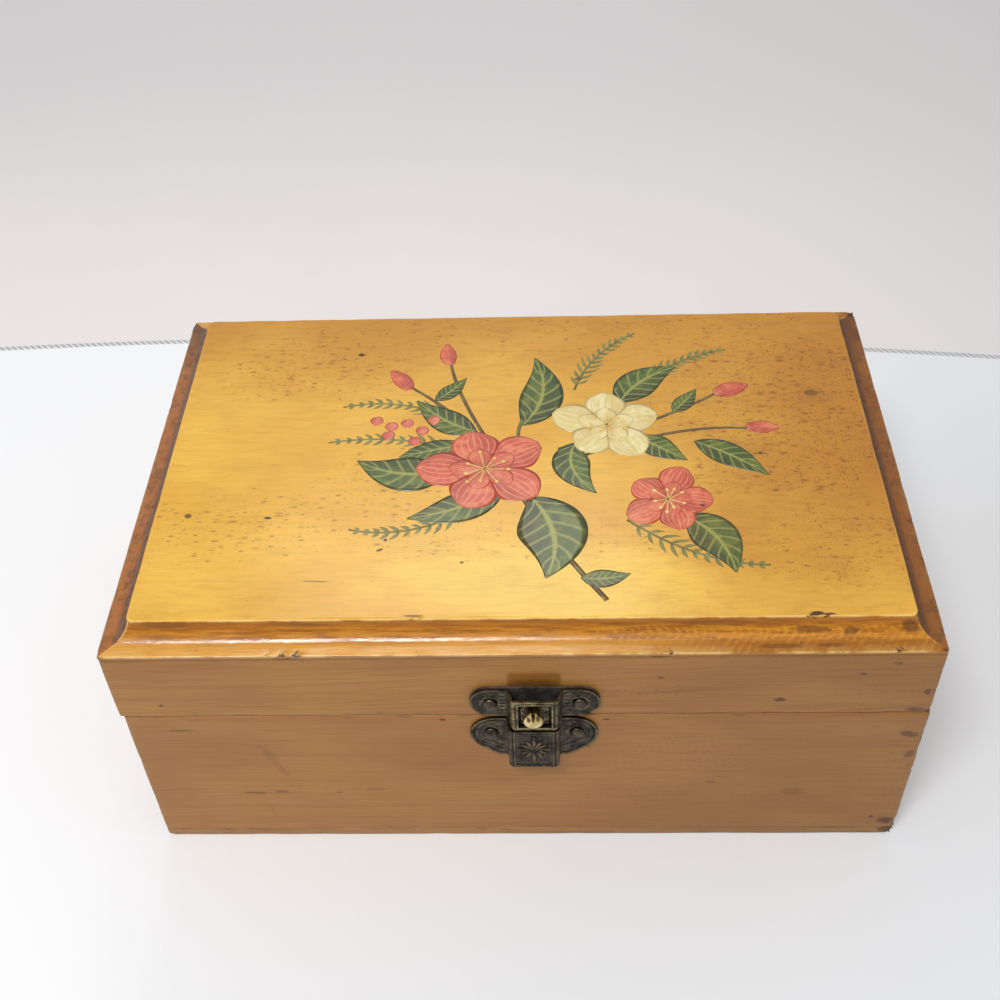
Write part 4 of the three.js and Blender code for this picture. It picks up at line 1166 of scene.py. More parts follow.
inkRows = {
    "sprigs": (
        (92, 96, 44), (120, 122, 60), (150, 144, 76), (150, 144, 76), (120, 110, 50),
        0.5, 0, 0, 0, 0, 0.3, 0.2,
    ),
    "stems": (
        (86, 58, 30), (98, 76, 38), (132, 120, 62), (150, 120, 60), (70, 44, 22),
        0.5, 0, 0, 0, 0.4, 0.4, 0.3,
    ),
    "leaves": (
        (40, 54, 14), (64, 88, 22), (108, 120, 36), (156, 156, 70), (50, 44, 14),
        0.5, 44, 8, 0.65, 0.9, 0.7, 0.6,
    ),
    "berries": (
        (186, 66, 52), (214, 104, 84), (232, 146, 112), (240, 180, 140), (160, 52, 38),
        0.4, 0, 0, 0, 0, 0.6, 0.5,
    ),
    "coralPetals": (
        (164, 44, 30), (206, 82, 54), (230, 128, 88), (240, 164, 122), (180, 56, 36),
        0.5, 2, 22, 0.5, 0.2, 0.6, 0.5,
    ),
    "stamens": (
        (214, 150, 60), (236, 200, 104), (244, 220, 140), (236, 200, 104), (190, 120, 50),
        0.5, 0, 0, 0, 0, 0.4, 0.2,
    ),
    "creamPetals": (
        (196, 150, 70), (226, 208, 138), (240, 228, 176), (206, 176, 96), (180, 140, 66),
        0.45, 2, 18, 0.4, 0.3, 0.5, 0.25,
    ),
}
printInks = {}
for inkName, row in inkRows.items():
    cells = [tone(*cell) if isinstance(cell, tuple) else float(cell) for cell in row]
    printInks[inkName] = dict(zip(inkColumns, cells))


# Printed ink under the varnish: deeper at the base, pale clouds, veins at a lean to the middle line, a
# darker outline.
def printInk(name, ink):
    material, shader = newMaterial(name + "Ink")
    along, across = numberOf("along"), numberOf("across")
    out = abs(across)
    cloud = noise((2.4, 2.4, 2.4), 71, 3)
    veins = mathNode("SINE", along * ink["veins"] - out * ink["lean"])
    colour, height = agedVarnish(layered(ink["deep"], [
        (ease(along, 0.0, ink["deepReach"]), ink["body"]),
        (ease(cloud, 0.42, 0.66, 0.75), ink["pale"]),
        (ease(across, -0.1, 0.5, ink["half"]), ink["deep"]),
        (ease(veins, 0.55, 1.0, ink["veinShare"]), ink["line"]),
        (ease(out, 0.12, 0.04, ink["rib"]), ink["line"]),
        (ease(out, 0.78, 0.98, ink["rim"]), ink["edge"]),
    ]), 0.7)
    inputs = {"Base Color": colour, "Roughness": 0.35, "Normal": bumpFrom(height, 0.03)}
    setInputs(shader, {**inputs, "Coat Weight": 0.4, "Coat Roughness": 0.14, "IOR": 1.5})
    return material


# A flat shape along a curve from a start, past a bend, to an end. Its half width at a share t of the way is
# the sine of half a turn times (first + reach * t to a power), raised to a swell. It is closed below.
def laidShape(curve, halfWidth, level, kind, rows=25, columns=11):
    start, bend, end = np.array(curve, float)
    t = np.linspace(0, 1, rows)[:, None]
    line = onBend(start, bend, end, t)
    first, reach, power, swell = printShape["outlines"][kind]
    across = np.linspace(-1, 1, columns)
    widths = halfWidth * np.sin(np.pi * (first + reach * t**power)) ** swell * across
    plan = line[:, None] + rightOf(directions(line))[:, None] * widths[..., None]
    levels = (printShape["base"] + printShape["layer"] * level, printShape["floor"])
    points = [np.concatenate([plan, np.full((rows, columns, 1), z)], -1).reshape(-1, 3) for z in levels]
    spread = [np.tile(np.broadcast_to(v, (rows, columns)).ravel(), 2) for v in (t, across)]
    return np.concatenate(points), shellFaces(np.ones((rows - 1, columns - 1), bool)), spread[0], spread[1]


# The unit step in a direction on the top.
def wayTo(angle):
    return np.array([math.cos(angle), math.sin(angle)])


# Petals round a centre: each starts near it and leans a little to one side.
def blossomShapes(centre, reach, halfWidth, turn, count=5):
    shapes = []
    for i in range(count):
        angle = turn + 2 * math.pi * i / count
        ways = [wayTo(angle + lean) for lean in (0, 0.22, 0.05)]
        long = reach * (1 + 0.1 * math.sin(3.7 * i + turn))
        curve = [np.array(centre) + way * long * share for way, share in zip(ways, (0.08, 0.55, 1.0))]
        shapes.append(laidShape(curve, halfWidth, 7 + 1.6 * i, "petal"))
        inner = [np.array(centre) + way * long * share for way, share in zip(ways[::-1], (0.04, 0.3, 0.52))]
        shapes.append(laidShape(inner, halfWidth * 0.5, 14.2 + 0.6 * i, "petal", 15, 9))
    return shapes


# Stamens: thin lines from a blossom's centre, each with a dot at its tip.
def stamenShapes(centre, reach, turn):
    shapes = []
    count = 9
    for i in range(count):
        way = wayTo(turn + 2 * math.pi * (i + 0.3 * math.sin(5 * i)) / count)
        tip = np.array(centre) + way * reach * (0.34 + 0.07 * math.sin(4 * i))
        shapes.append(laidShape((centre, (tip + centre) / 2, tip), 0.13, 18, "stem", 7, 3))
        shapes.append(laidShape((tip - way * 0.5, tip, tip + way * 0.5), 0.42, 18.6, "bud", 9, 5))
    return shapes


# A sprig: a thin stem with paired leaflets that shorten toward its tip.
def sprigShapes(curve):
    pairs = 13
    start, bend, end = np.array(curve, float)
    shapes = [laidShape(curve, 0.3, 0, "stem", columns=3)]
    for i in range(1, pairs):
        t = i / pairs
        root = onBend(start, bend, end, t)
        way = (1 - t) * (bend - start) + t * (end - bend)
        heading = math.atan2(way[1], way[0])
        long = 5.6 * (1 - 0.7 * t) * (0.8 + 0.2 * math.sin(5 * i))
        for side in (-1, 1):
            ways = [wayTo(heading + side * lean) for lean in (0.95, 0.7)]
            leaflet = [root, root + ways[0] * long * 0.55, root + ways[1] * long]
            shapes.append(laidShape(leaflet, 0.42, 0.3, "leaf", 7, 5))
    return shapes


# The print: every group of shapes becomes one piece with one ink.
def addPrint():
    groups = {"sprigs": [shape for curve in printShape["sprigs"] for shape in sprigShapes(curve)]}
    groups["stems"] = [laidShape(*stem, "stem", columns=3) for stem in printShape["stems"]]
    groups["leaves"] = [laidShape(*leaf, "leaf") for leaf in printShape["leaves"]]
    groups["berries"] = [
        laidShape(((x, y + 1.5), (x + 0.3, y), (x, y - 1.5)), 1.5, 6.1 + 0.2 * i, "bud", 11, 7)
        for i, (x, y) in enumerate(printShape["berries"])
    ]
    stamens = []
    for name, blossoms in printShape["blossoms"].items():
        groups[name] = [shape for blossom in blossoms for shape in blossomShapes(*blossom)]
        for centre, reach, _, turn in blossoms:
            stamens += stamenShapes(centre, reach, turn)
    groups["stamens"] = stamens
    groups["coralPetals"] += [laidShape(*bud, "bud", 15, 9) for bud in printShape["buds"]]
    for name, shapes in groups.items():
        starts = np.cumsum([0] + [len(shape[0]) for shape in shapes])
        faces = np.concatenate([shape[1] + start for shape, start in zip(shapes, starts)]).tolist()
        points, along, across = [np.concatenate([shape[i] for shape in shapes]) for i in (0, 2, 3)]
        ink = printInk(name, printInks[name])
        numbers = {"along": along, "across": across}
        pieceTitle = "print" + name[0].upper() + name[1:]
        addPiece(None, points, faces, [ink], "lid", numbers, name=pieceTitle)


# Floor

# The table: one wide sheet, white near the box, painted lighter to the left and with a painted shadow
# beside the box to the right; past a slanting line with a corded hem it is the grey of a card, painted
# lighter near the line and darker higher up and to the right as painted light falloff.
def addTable():
    settings = tableTop
    tones = {key: (*value, 1) for key, value in settings.items() if isinstance(value, tuple)}
    material, shader = newMaterial("tablePaper")
    x, y, _ = splitPlace()
    line = x * settings["lineBend"] + settings["lineSlope"]
    beyond = y - (x * line + settings["lineAt"])
    slanted = y * -0.55 + x
    # painted light: the floor lighter toward the left
    near = mix(ease(slanted, 90.0, -140.0), tones["nearColour"], tones["leftColour"])
    # painted shadow: the floor darker beside the box on its right
    shadowBesideBox = ease(y, 120.0, 20.0) * ease(y, -190.0, -40.0, 0.6)
    shadowBesideBox = ease(x, 60.0, 150.0) * (shadowBesideBox + 0.25)
    near = mix(shadowBesideBox, near, tones["shadedRightColour"])
    # painted light falloff: the grey lighter near the line, darker higher up and to the right
    wall = mix(ease(beyond, 0.0, 200.0), tones["wallLow"], tones["wallHigh"])
    wall = mix(ease(x, -20.0, 320.0), wall, tones["wallRight"])
    cloudy = noise((60, 60, 60), 30, 6, 0.6)
    wall = mix(ease(cloudy, 0.35, 0.7, 0.1), wall, tones["wallRight"])
    colour = mix(ease(beyond, -0.6, 0.6), near, wall)
    twist = mathNode("SINE", (x + beyond) * 3.1)
    cord = ease(abs(beyond), settings["hem"], settings["hem"] * 0.5) * (twist * 0.35 + 0.6)
    colour = mix(cord, colour, tones["hemColour"])
    setInputs(shader, {"Base Color": colour, "Roughness": 0.85, "Specular IOR Level": 0.2})
    gx, gy = np.meshgrid(*[np.linspace(-settings["reach"], settings["reach"], 5)] * 2)
    points = np.stack([gx, gy, np.zeros_like(gx)], -1).reshape(-1, 3)
    mesh = bpy.data.meshes.new("table")
    mesh.from_pydata((points * mm).tolist(), [], gridQuads(5, 5).tolist())
    mesh.materials.append(material)
    addObject("table", mesh)


# Metal

metalColumns = ("deep", "skin", "worn", "rough", "seed", "relief", "metallic")
metalRows = {
    "catchPatina": (tone(50, 45, 41), tone(78, 70, 62), tone(190, 172, 122), 0.38, 51, 0.008, 1.0),
    "catchDarkSteel": (tone(58, 55, 52), tone(92, 88, 84), tone(100, 96, 90), 0.45, 53, 0.012, 0.3),
    "hingeBrass": (tone(96, 74, 38), tone(176, 146, 84), tone(214, 190, 128), 0.3, 57, 0.02, 1.0),
    "knobBrass": (tone(196, 172, 110), tone(232, 216, 160), tone(214, 190, 128), 0.2, 59, 0.008, 1.0),
    "pinSteel": (tone(72, 66, 60), tone(128, 122, 114), tone(170, 166, 158), 0.38, 61, 0.02, 1.0),
}
cavityTone = tone(18, 16, 14)
knobTarnish = {
    "tone": tone(62, 42, 12),
    "marks": (
        ((1.35, -59, 52.1), (0.6, 3, 0.85), (0, 0.3, 0), 0.9),
        ((3.1, -59, 52.3), (0.65, 3, 1.1), (0, -0.3, 0), 0.85),
        ((2.1, -59, 50.2), (0.16, 3, 0.14), (0, 0, 0), 0.9),
        # The last mark darkens the cleft and the top of the knob round it.
        ((2.2, -58.2, 53.0), (0.7, 1.9, 2.2), (0, 0, 0), 1.0),
    ),
}


# Old metal: a mottled skin, brighter where the "worn" number says that hands rub it and dark in its
# cavities, with tarnish where a list of marks puts it.
def oldMetal(name, wearable=False, tarnish=None):
    look = dict(zip(metalColumns, metalRows[name]))
    material, shader = newMaterial(name)
    mottle = noise((2.2, 2.2, 2.2), look["seed"], 4, 0.6)
    scratches = noise((3.0, 0.12, 0.12), look["seed"] + 1, 2)
    colour = mix(ease(mottle, 0.38, 0.64), look["skin"], look["deep"])
    if wearable:
        colour = mix(numberOf("worn") * ease(mottle, 0.72, 0.36), colour, look["worn"])
        colour = mix(numberOf("cavity") * 0.85, colour, cavityTone)
    if tarnish:
        colour = mix(marksOver(tarnish["marks"], mottle), colour, tarnish["tone"])
    inputs = {"Base Color": colour, "Metallic": look["metallic"],
              "Roughness": mottle * 0.3 + (look["rough"] - 0.12)}
    setInputs(shader, {**inputs, "Normal": bumpFrom(scratches * 0.3 + mottle, look["relief"])})
    return material


# The two hinges, each of two leaves with two nails and a pin.
def addHinges(brass, steel):
    for side in ("left", "right"):
        for half in ("case", "lid"):
            easedCopy(f"hinge_{side}_{half}_leaf", brass, half, 0.12)
            for i in (1, 2):
                easedCopy(f"hinge_{side}_{half}_nail_{i}", brass, half, 0.08)
        easedCopy(f"hinge_{side}_pin", steel, "case", 0.15)


# Catch

catchShape = {
    "centreX": 2.5,
    "woodY": -54.0,
    "faceY": -58.1,
    "sheet": 0.5,
    "bendSteps": 5,
    "tipRun": 1.5,
    "tipSteps": 9,
    "step": 0.135,
    "pinRadius": 0.6,
    "pinHeadRadius": 1.45,
    "pinHeadHeight": 0.75,
    "pinLength": 5.0,
    "pinDent": 0.05,
    "domeSteps": 9,
    "turnSteps": 28,
    "cavityDepth": 0.03,
    "sharp": 0.9,
}
bridgeShape = {
    "centre": 2.5,
    "splay": 0.9,
    "bendCut": 0.49,
    "width": 9.5,
    "span": 26.3,
    "earBack": 0.6,
    "face": (46.1, 55.2),
    "corner": 1.1,
    "ears": (46.9, 55.2),
    "earCurve": (
        (0.0, 0), (0.2, 0), (0.42, 0), (0.7, 0.07), (0.91, 0.25), (1, 0.5), (0.93, 0.76), (0.74, 0.94),
        (0.5, 1), (0.25, 1), (0, 1),
    ),
    "window": (3.35, 46.8, 54.0),
    "roll": 0.0,
    "pin": (9.0, 50.9),
    "bars": (48.3, 49.4, 50.5, 51.6, 52.7, 53.8),
    "veins": (-0.9, -0.45, 0.45, 0.9),
    "veinReach": (2.2, 3.1),
}
housingShape = {
    "centre": 2.2,
    "splay": 0.25,
    "bendCut": 0.85,
    "width": 10.4,
    "span": 26.3,
    "earBack": 0.1,
    "face": (32.55, 45.3),
    "corner": 0.0,
    "ears": (32.7, 45.3),
    "earCurve": (
        (0.0, 0), (0.16, 0), (0.33, 0.03), (0.55, 0.16), (0.8, 0.27), (0.95, 0.42), (1, 0.6), (0.92, 0.79),
        (0.68, 0.94), (0.36, 1), (0, 1),
    ),
    "window": None,
    "roll": 0.75,
    "pin": (8.85, 40.4),
    "rosette": 39.4,
    "petals": ((0, 3.35), (30, 3.0), (60, 3.2), (90, 4.3)),
    "strokes": (
        (6.2, 34.0, 7.3, 35.0), (6.3, 35.4, 7.5, 36.3), (6.4, 36.9, 7.4, 37.5), (8.0, 36.2, 8.9, 36.9),
        (9.4, 37.2, 10.2, 37.6), (6.3, 43.7, 7.5, 43.2), (8.0, 44.1, 9.2, 43.9), (10.6, 43.2, 11.4, 42.4),
        (11.7, 41.2, 11.8, 40.0), (11.0, 38.4, 10.4, 38.0),
    ),
}
tongueShape = {
    "half": 3.7,
    "front": -57.35,
    "back": -56.95,
    "top": 53.9,
    "chasedFrom": 46.0,
    "foot": (-57.05, 33.55, 0.45),
    "strokes": (
        (2.15, 48.2, 2.5, 49.0), (1.75, 48.0, 2.2, 49.6), (2.1, 50.2, 2.55, 50.9), (2.2, 51.6, 1.6, 52.6),
        (2.5, 52.0, 2.1, 53.0), (-2.15, 48.2, -2.5, 49.0), (-2.2, 50.4, -2.55, 51.0),
        (-2.5, 51.8, -1.9, 52.8), (-0.9, 52.9, -0.35, 53.2), (0.2, 53.2, 0.7, 52.9),
    ),
}
knobShape = {
    "centre": (2.2, -57.45, 50.8),
    "height": 3.03,
    "radius": 2.04,
    "neck": 1.5,
    "shank": 0.8,
    "root": 0.5,
    "crownBase": 0.62,
    "domeStart": -0.5,
    "domeSteps": 18,
    "turnSteps": 46,
    "cleft": 0.3,
    "cleftSteps": 6,
    "cleftFloor": 0.22,
    "cleftStart": 0.42,
    "cleftShare": 0.8,
    "tall": 0.95,
    "narrow": 0.4,
}


# A smooth curve through points: between each pair a cubic whose slopes come from the neighbours on either
# side.
def smoothThrough(points):
    count = 14
    points = np.array(points, float)
    padded = np.concatenate([2 * points[:1] - points[1:2], points, 2 * points[-1:] - points[-2:-1]])
    before, here, after, later = padded[:-3], padded[1:-2], padded[2:-1], padded[3:]
    t = np.linspace(0, 1, count, endpoint=False)[:, None, None]
    curve = here + 0.5 * (t * (after - before) + t**2 * (2 * before - 5 * here + 4 * after - later)
                          + t**3 * (3 * (here - after) + later - before))
    return np.concatenate([curve.transpose(1, 0, 2).reshape(-1, 2), points[-1:]])


# How far each place of a relief lies under the mean of its neighbours within a reach of cells, for 1 at a
# depth.
def cavityOf(height, depth):
    reach = 3
    padded = np.pad(height, reach, mode="edge")
    window = np.lib.stride_tricks.sliding_window_view(padded, (2 * reach + 1, 2 * reach + 1))
    return np.clip((window.mean((-1, -2)) - height) / depth, 0, 1)


# How near each place of the front view lies to any of some straight strokes: 1 on a stroke, fading to 0
# within about the width.
def chased(x, z, strokes, width):
    nearness = []
    for x0, z0, x1, z1 in strokes:
        dx, dz = x1 - x0, z1 - z0
        t = np.clip(((x - x0) * dx + (z - z0) * dz) / (dx * dx + dz * dz), 0, 1)
        nearness.append(ridge(np.hypot(x - x0 - t * dx, z - z0 - t * dz), width))
    return np.max(nearness, axis=0)


# Lumps over the front view.
def frontLumps(x, z, length, seed):
    return lumps(np.stack([x, z, 0 * x], -1), length, seed)


# A patchy share between 0 and 1 over the front view.
def patches(x, z, length, seed):
    return 0.5 + 0.5 * np.clip(frontLumps(x, z, length, seed), -1, 1)


# What both reliefs start from: distance across from the middle, how much a place belongs to an ear, to the
# face and to the rim, and its distance and direction from the pin.
def sheetPlaces(x, z, rim, out, pin):
    away = np.abs(x)
    ear, face = np.clip(1 - out * 3, 0, 1), np.clip(out * 4 - 3, 0, 1)
    fromPin, turn = np.hypot(away - pin[0], z - pin[1]), np.arctan2(z - pin[1], away - pin[0])
    return away, ear, face, ridge(rim - 0.22, 0.2), fromPin, turn


# The lower and upper edge of a sheet over its plan line: the face's edges, eased past the cheeks into those
# of the ear, whose curve runs out to its tip and back.
def sheetEdges(shape, away, half, foot, tip):
    sheet = catchShape["sheet"]
    curve = smoothThrough(shape["earCurve"])
    turn = np.argmax(curve[:, 0])
    share = np.clip((away - foot - sheet / 2) / (tip - foot - sheet / 2), 0, 1)
    (faceLow, faceHigh), (earLow, earHigh) = shape["face"], shape["ears"]
    lowShare = np.interp(share, curve[: turn + 1, 0], curve[: turn + 1, 1])
    highShare = np.interp(share, curve[turn:, 0][::-1], curve[turn:, 1][::-1])
    corner = shape["corner"]
    inCorner = np.clip(away - (shape["width"] / 2 - corner), 0, corner)
    rounding = corner - np.sqrt(corner**2 - inCorner**2) if corner else 0 * away
    toEar = np.clip((away - half) / shape["splay"], 0, 1)
    toEar = toEar**2 * (3 - 2 * toEar)
    lowFace = faceLow + rounding * (away <= half + 0.3)
    lowEdge = (1 - toEar) * lowFace + toEar * (earLow + lowShare * (earHigh - earLow))
    highEdge = (1 - toEar) * faceHigh + toEar * (earLow + highShare * (earHigh - earLow))
    middle = (lowEdge + highEdge) / 2
    return np.minimum(lowEdge, middle - 0.15), np.maximum(highEdge, middle + 0.15)


# A stamped sheet: a plan line of ear, splayed cheek, face, cheek and ear, swept between a lower and an
# upper edge; its front stands out along the line's normals by the relief. The relief gets each place's
# distance across from the middle, height, developed distance to the rim, and how far out of the wood it
# stands.
def stampedSheet(node, shape, relief, material, body):
    sheet, woodY = catchShape["sheet"], catchShape["woodY"]
    half = shape["width"] / 2 - sheet / 2
    foot, tip = half + shape["splay"], shape["span"] / 2
    earY, faceY = woodY - shape["earBack"] - sheet / 2, catchShape["faceY"] + sheet / 2
    opening = shape["window"][0] if shape["window"] else 1.0
    run, cut = catchShape["tipRun"], shape["bendCut"]
    rightSide = [(opening, faceY), (half, faceY), (foot, earY), (tip - run, earY)]
    stops = [(-x, y) for x, y in rightSide[::-1]] + rightSide
    line = densify(bentPath(stops, [cut, cut, 0, 0, cut, cut], catchShape["bendSteps"]), catchShape["step"])
    angle = np.linspace(0, np.pi / 2, catchShape["tipSteps"])[:-1]
    end = np.stack([tip - run * (1 - np.cos(angle)), np.full(len(angle), earY)], 1)
    line = np.concatenate([end * [-1, 1], line, end[::-1]])
    normals = rightOf(directions(line))
    developed = lengthsAlong(line)
    away = np.abs(line[:, 0])
    faceLow, faceHigh = shape["face"]
    lowEdge, highEdge = sheetEdges(shape, away, half, foot, tip)
    if shape["window"]:
        breaks = [0] + [(z - faceLow) / (faceHigh - faceLow) for z in shape["window"][1:]] + [1]
    else:
        breaks = [0, 1]
    rows = densify(np.array(breaks, float)[:, None], catchShape["step"] / (faceHigh - faceLow))[:, 0]
    z = lowEdge + (highEdge - lowEdge) * rows[:, None]
    x = np.broadcast_to(line[:, 0], z.shape)
    outline = np.concatenate([np.stack([developed, lowEdge], 1), np.stack([developed, highEdge], 1)])
    places = np.stack([np.broadcast_to(developed, z.shape).ravel(), z.ravel()], 1)
    parts = np.array_split(places, 40)
    fromRim = [np.sqrt(((part[:, None] - outline[None]) ** 2).sum(-1)).min(1) for part in parts]
    rim = np.concatenate(fromRim).reshape(z.shape)
    out = np.broadcast_to((earY - line[:, 1]) / (earY - faceY), z.shape)
    height, worn = relief(x, z, rim, out)
    fromFoot = np.clip(shape["roll"] - (z - faceLow), 0, shape["roll"])
    rolled = (shape["roll"] - np.sqrt(shape["roll"] ** 2 - fromFoot**2)) * np.clip(out * 1.6, 0, 1)
    flat = np.stack([x, np.broadcast_to(line[:, 1], z.shape), z], -1) + [shape["centre"], 0, 0]
    outward = np.concatenate([np.broadcast_to(normals, (*z.shape, 2)), np.zeros((*z.shape, 1))], -1)
    front = flat + outward * (sheet / 2 + height - rolled)[..., None]
    back = flat - outward * (sheet / 2 + rolled * 0.6)[..., None]
    kept = np.ones((len(rows) - 1, len(line) - 1), bool)
    if shape["window"]:
        middles = (rows[1:] + rows[:-1])[:, None] / 2
        across = (away[1:] + away[:-1])[None] / 2
        kept = ~((middles > breaks[1]) & (middles < breaks[2]) & (across < opening))
    points = np.concatenate([front.reshape(-1, 3), back.reshape(-1, 3)])
    numbers = {"worn": worn.ravel(), "cavity": cavityOf(height, catchShape["cavityDepth"]).ravel()}
    faces = shellFaces(kept).tolist()
    if shape["roll"]:
        isBowl = out[0] > 0.02
        bowl = (flat[0] - outward[0] * (sheet / 2 + shape["roll"] * 0.45))[isBowl]
        plan = np.concatenate([[[bowl[0, 0], woodY - 0.1, 0]], bowl, [[bowl[-1, 0], woodY - 0.1, 0]]])
        levels = np.array([faceLow, faceLow + 0.35])
        floor = [np.column_stack([plan[:, :2], np.full(len(plan), level)]) for level in levels]
        ring = gridQuads(2, len(plan), wrapColumns=True).tolist()
        ring += [list(range(len(plan)))[::-1], list(range(len(plan), 2 * len(plan)))]
        faces += [[i + len(points) for i in face] for face in ring]
        points = np.concatenate([points, *floor])
    numbers = {key: np.pad(values, (0, len(points) - len(values))) for key, values in numbers.items()}
    addPiece(node, points, faces, [material], body, numbers, catchShape["sharp"])


# Relief of the bridge: beaded rims, a boss round each pin, short bars by the cheeks, and lines round the
# window. Gives how high each place stands and how much it is rubbed bright.
def bridgeRelief(x, z, rim, out):
    shape = bridgeShape
    opening, low, high = shape["window"]
    pinX, pinZ = shape["pin"]
    away, ear, face, edge, fromPin, turn = sheetPlaces(x, z, rim, out, shape["pin"])
    boss = ridge(fromPin - 1.95 - 0.12 * np.cos(5 * turn), 0.3)
    bars = chased(away, z, [(6.15, level, 6.95, level + 0.15) for level in shape["bars"]], 0.22)
    ways = [(math.cos(lean), math.sin(lean)) for lean in shape["veins"]]
    reach, end = shape["veinReach"]
    strokes = [(pinX + reach * a, pinZ + reach * b, pinX + end * a, pinZ + end * b) for a, b in ways]
    veins = chased(away, z, strokes, 0.2)
    fromWindow = np.hypot(np.clip(away - opening, 0, None), np.clip(np.maximum(low - z, z - high), 0, None))
    lip, line = ridge(fromWindow - 0.16, 0.16), ridge(fromWindow - 0.85, 0.14)
    pebble = frontLumps(x, z, 1.1, 301)
    onEar = 0.06 * edge + 0.08 * boss + 0.06 * bars + 0.05 * veins + 0.008 * pebble
    onFace = 0.09 * lip + 0.05 * line - 0.04 * ridge(fromWindow - 0.5, 0.16)
    height = ear * onEar + face * onFace + 0.05 * edge * (1 - ear)
    leftBorder = np.clip(-x - opening + 0.1, 0, 0.3) / 0.3
    topBorder = np.clip(z - high + 0.1, 0, 0.3) / 0.3 * (away < 4.4)
    footBorder = np.clip(low + 0.1 - z, 0, 0.3) / 0.3 * (away < 4.4)
    patina = patches(x, z, 2.4, 303)
    borders = (leftBorder * (0.55 + 0.45 * patina), topBorder * 0.75, footBorder * 0.8)
    worn = face * np.maximum(0.22, np.maximum.reduce([*borders, 0.8 * lip, 0.85 * edge]))
    onEar = 0.24 * edge + 0.14 * boss + 0.5 * bars * (x < 0) * patina + 0.2 * bars + 0.05 * patina
    return height, np.maximum.reduce([worn, ear * onEar, (1 - ear) * (1 - face) * (0.25 + 0.6 * edge)])


# The rosette: petals of given direction and reach, each widest in its middle and hollowed along it.
def rosette(radius, direction, petals):
    tallest = np.zeros_like(radius)
    for angle, reach in petals:
        lean = np.radians(direction - angle)
        along, across = radius * np.cos(lean), np.abs(radius * np.sin(lean))
        share = np.clip((along - 1.0) / (reach - 1.0), 0, 1)
        width = 0.12 + 0.27 * np.sin(np.pi * share**0.8)
        body = np.clip(1.2 - across / width, 0, 1) * ((along > 0.95) & (along < reach))
        hollow = ridge(across, 0.07) * (share > 0.15) * (share < 0.85)
        tallest = np.maximum(tallest, body * (1 - 0.45 * hollow))
    return tallest


# Relief of the housing: double side lines with a row of beads, a rosette, arcs along the foot, and chased
# ears. Gives how high each place stands and how much it is rubbed bright.
def housingRelief(x, z, rim, out):
    shape = housingShape
    low, high = shape["face"]
    away, ear, face, edge, fromPin, turn = sheetPlaces(x, z, rim, out, shape["pin"])
    groove = ridge(rim - 0.8, 0.22)
    boss = ridge(fromPin - 2.05 - 0.18 * np.cos(4 * turn + 0.7), 0.32)
    strokes = chased(away, z, shape["strokes"], 0.24)
    outer, inner = ridge(away - 3.95, 0.13), ridge(away - 3.45, 0.11)
    beads = ridge(away - 3.08, 0.14) * (0.5 + 0.5 * np.cos(2 * np.pi * z / 0.52))
    inPanel = (z > low + 1.2) & (z < high - 0.6)
    lines = np.maximum(np.maximum(outer, 0.8 * inner), 0.5 * beads * inPanel)
    headLine = ridge(z - high + 0.85, 0.14) * (away < 3.6)
    scallop = low + 1.75 - 0.6 * np.abs(np.sin(np.pi * (x + 3.3) / 1.32))
    arcs = ridge(z - scallop, 0.16) * (away < 3.6)
    up = z - shape["rosette"]
    radius = np.hypot(x, up)
    petals = rosette(radius, np.degrees(np.arctan2(np.abs(up), away)), shape["petals"])
    ring = ridge(radius - 0.62, 0.15) + ridge(radius, 0.2)
    pebble, patina = frontLumps(x, z, 0.9, 311), patches(x, z, 2.0, 313)
    onFace = 0.14 * lines + 0.24 * petals + 0.15 * ring + 0.09 * headLine - 0.2 * arcs + 0.006 * pebble
    onEar = 0.06 * edge - 0.06 * groove + 0.08 * boss + 0.06 * strokes + 0.01 * pebble
    height = face * onFace + (ear * onEar + 0.04 * edge * (1 - ear))
    onFace = 0.32 * lines + 0.34 * petals + 0.28 * ring + 0.3 * headLine * patina + 0.25 * edge - 0.3 * arcs
    onEar = 0.26 * edge + 0.12 * boss * patina + 0.2 * strokes + 0.06 * patina - 0.15 * groove
    between = (1 - ear) * (1 - face) * (0.3 + 0.35 * patina)
    return height, np.clip(np.maximum.reduce([face * onFace, ear * onEar, between]), 0, 1)


# A shape turned about an axis that points out of the front, from (radius, height) pairs between its two
# poles.
def turnedPoints(profile, angles, centre):
    profile = np.array(profile, float)
    radius, height = profile[:, :1], profile[:, 1:]
    x, z = radius * np.cos(angles), radius * np.sin(angles)
    return np.stack([x + centre[0], centre[1] - height + 0 * x, z + centre[2]], -1)


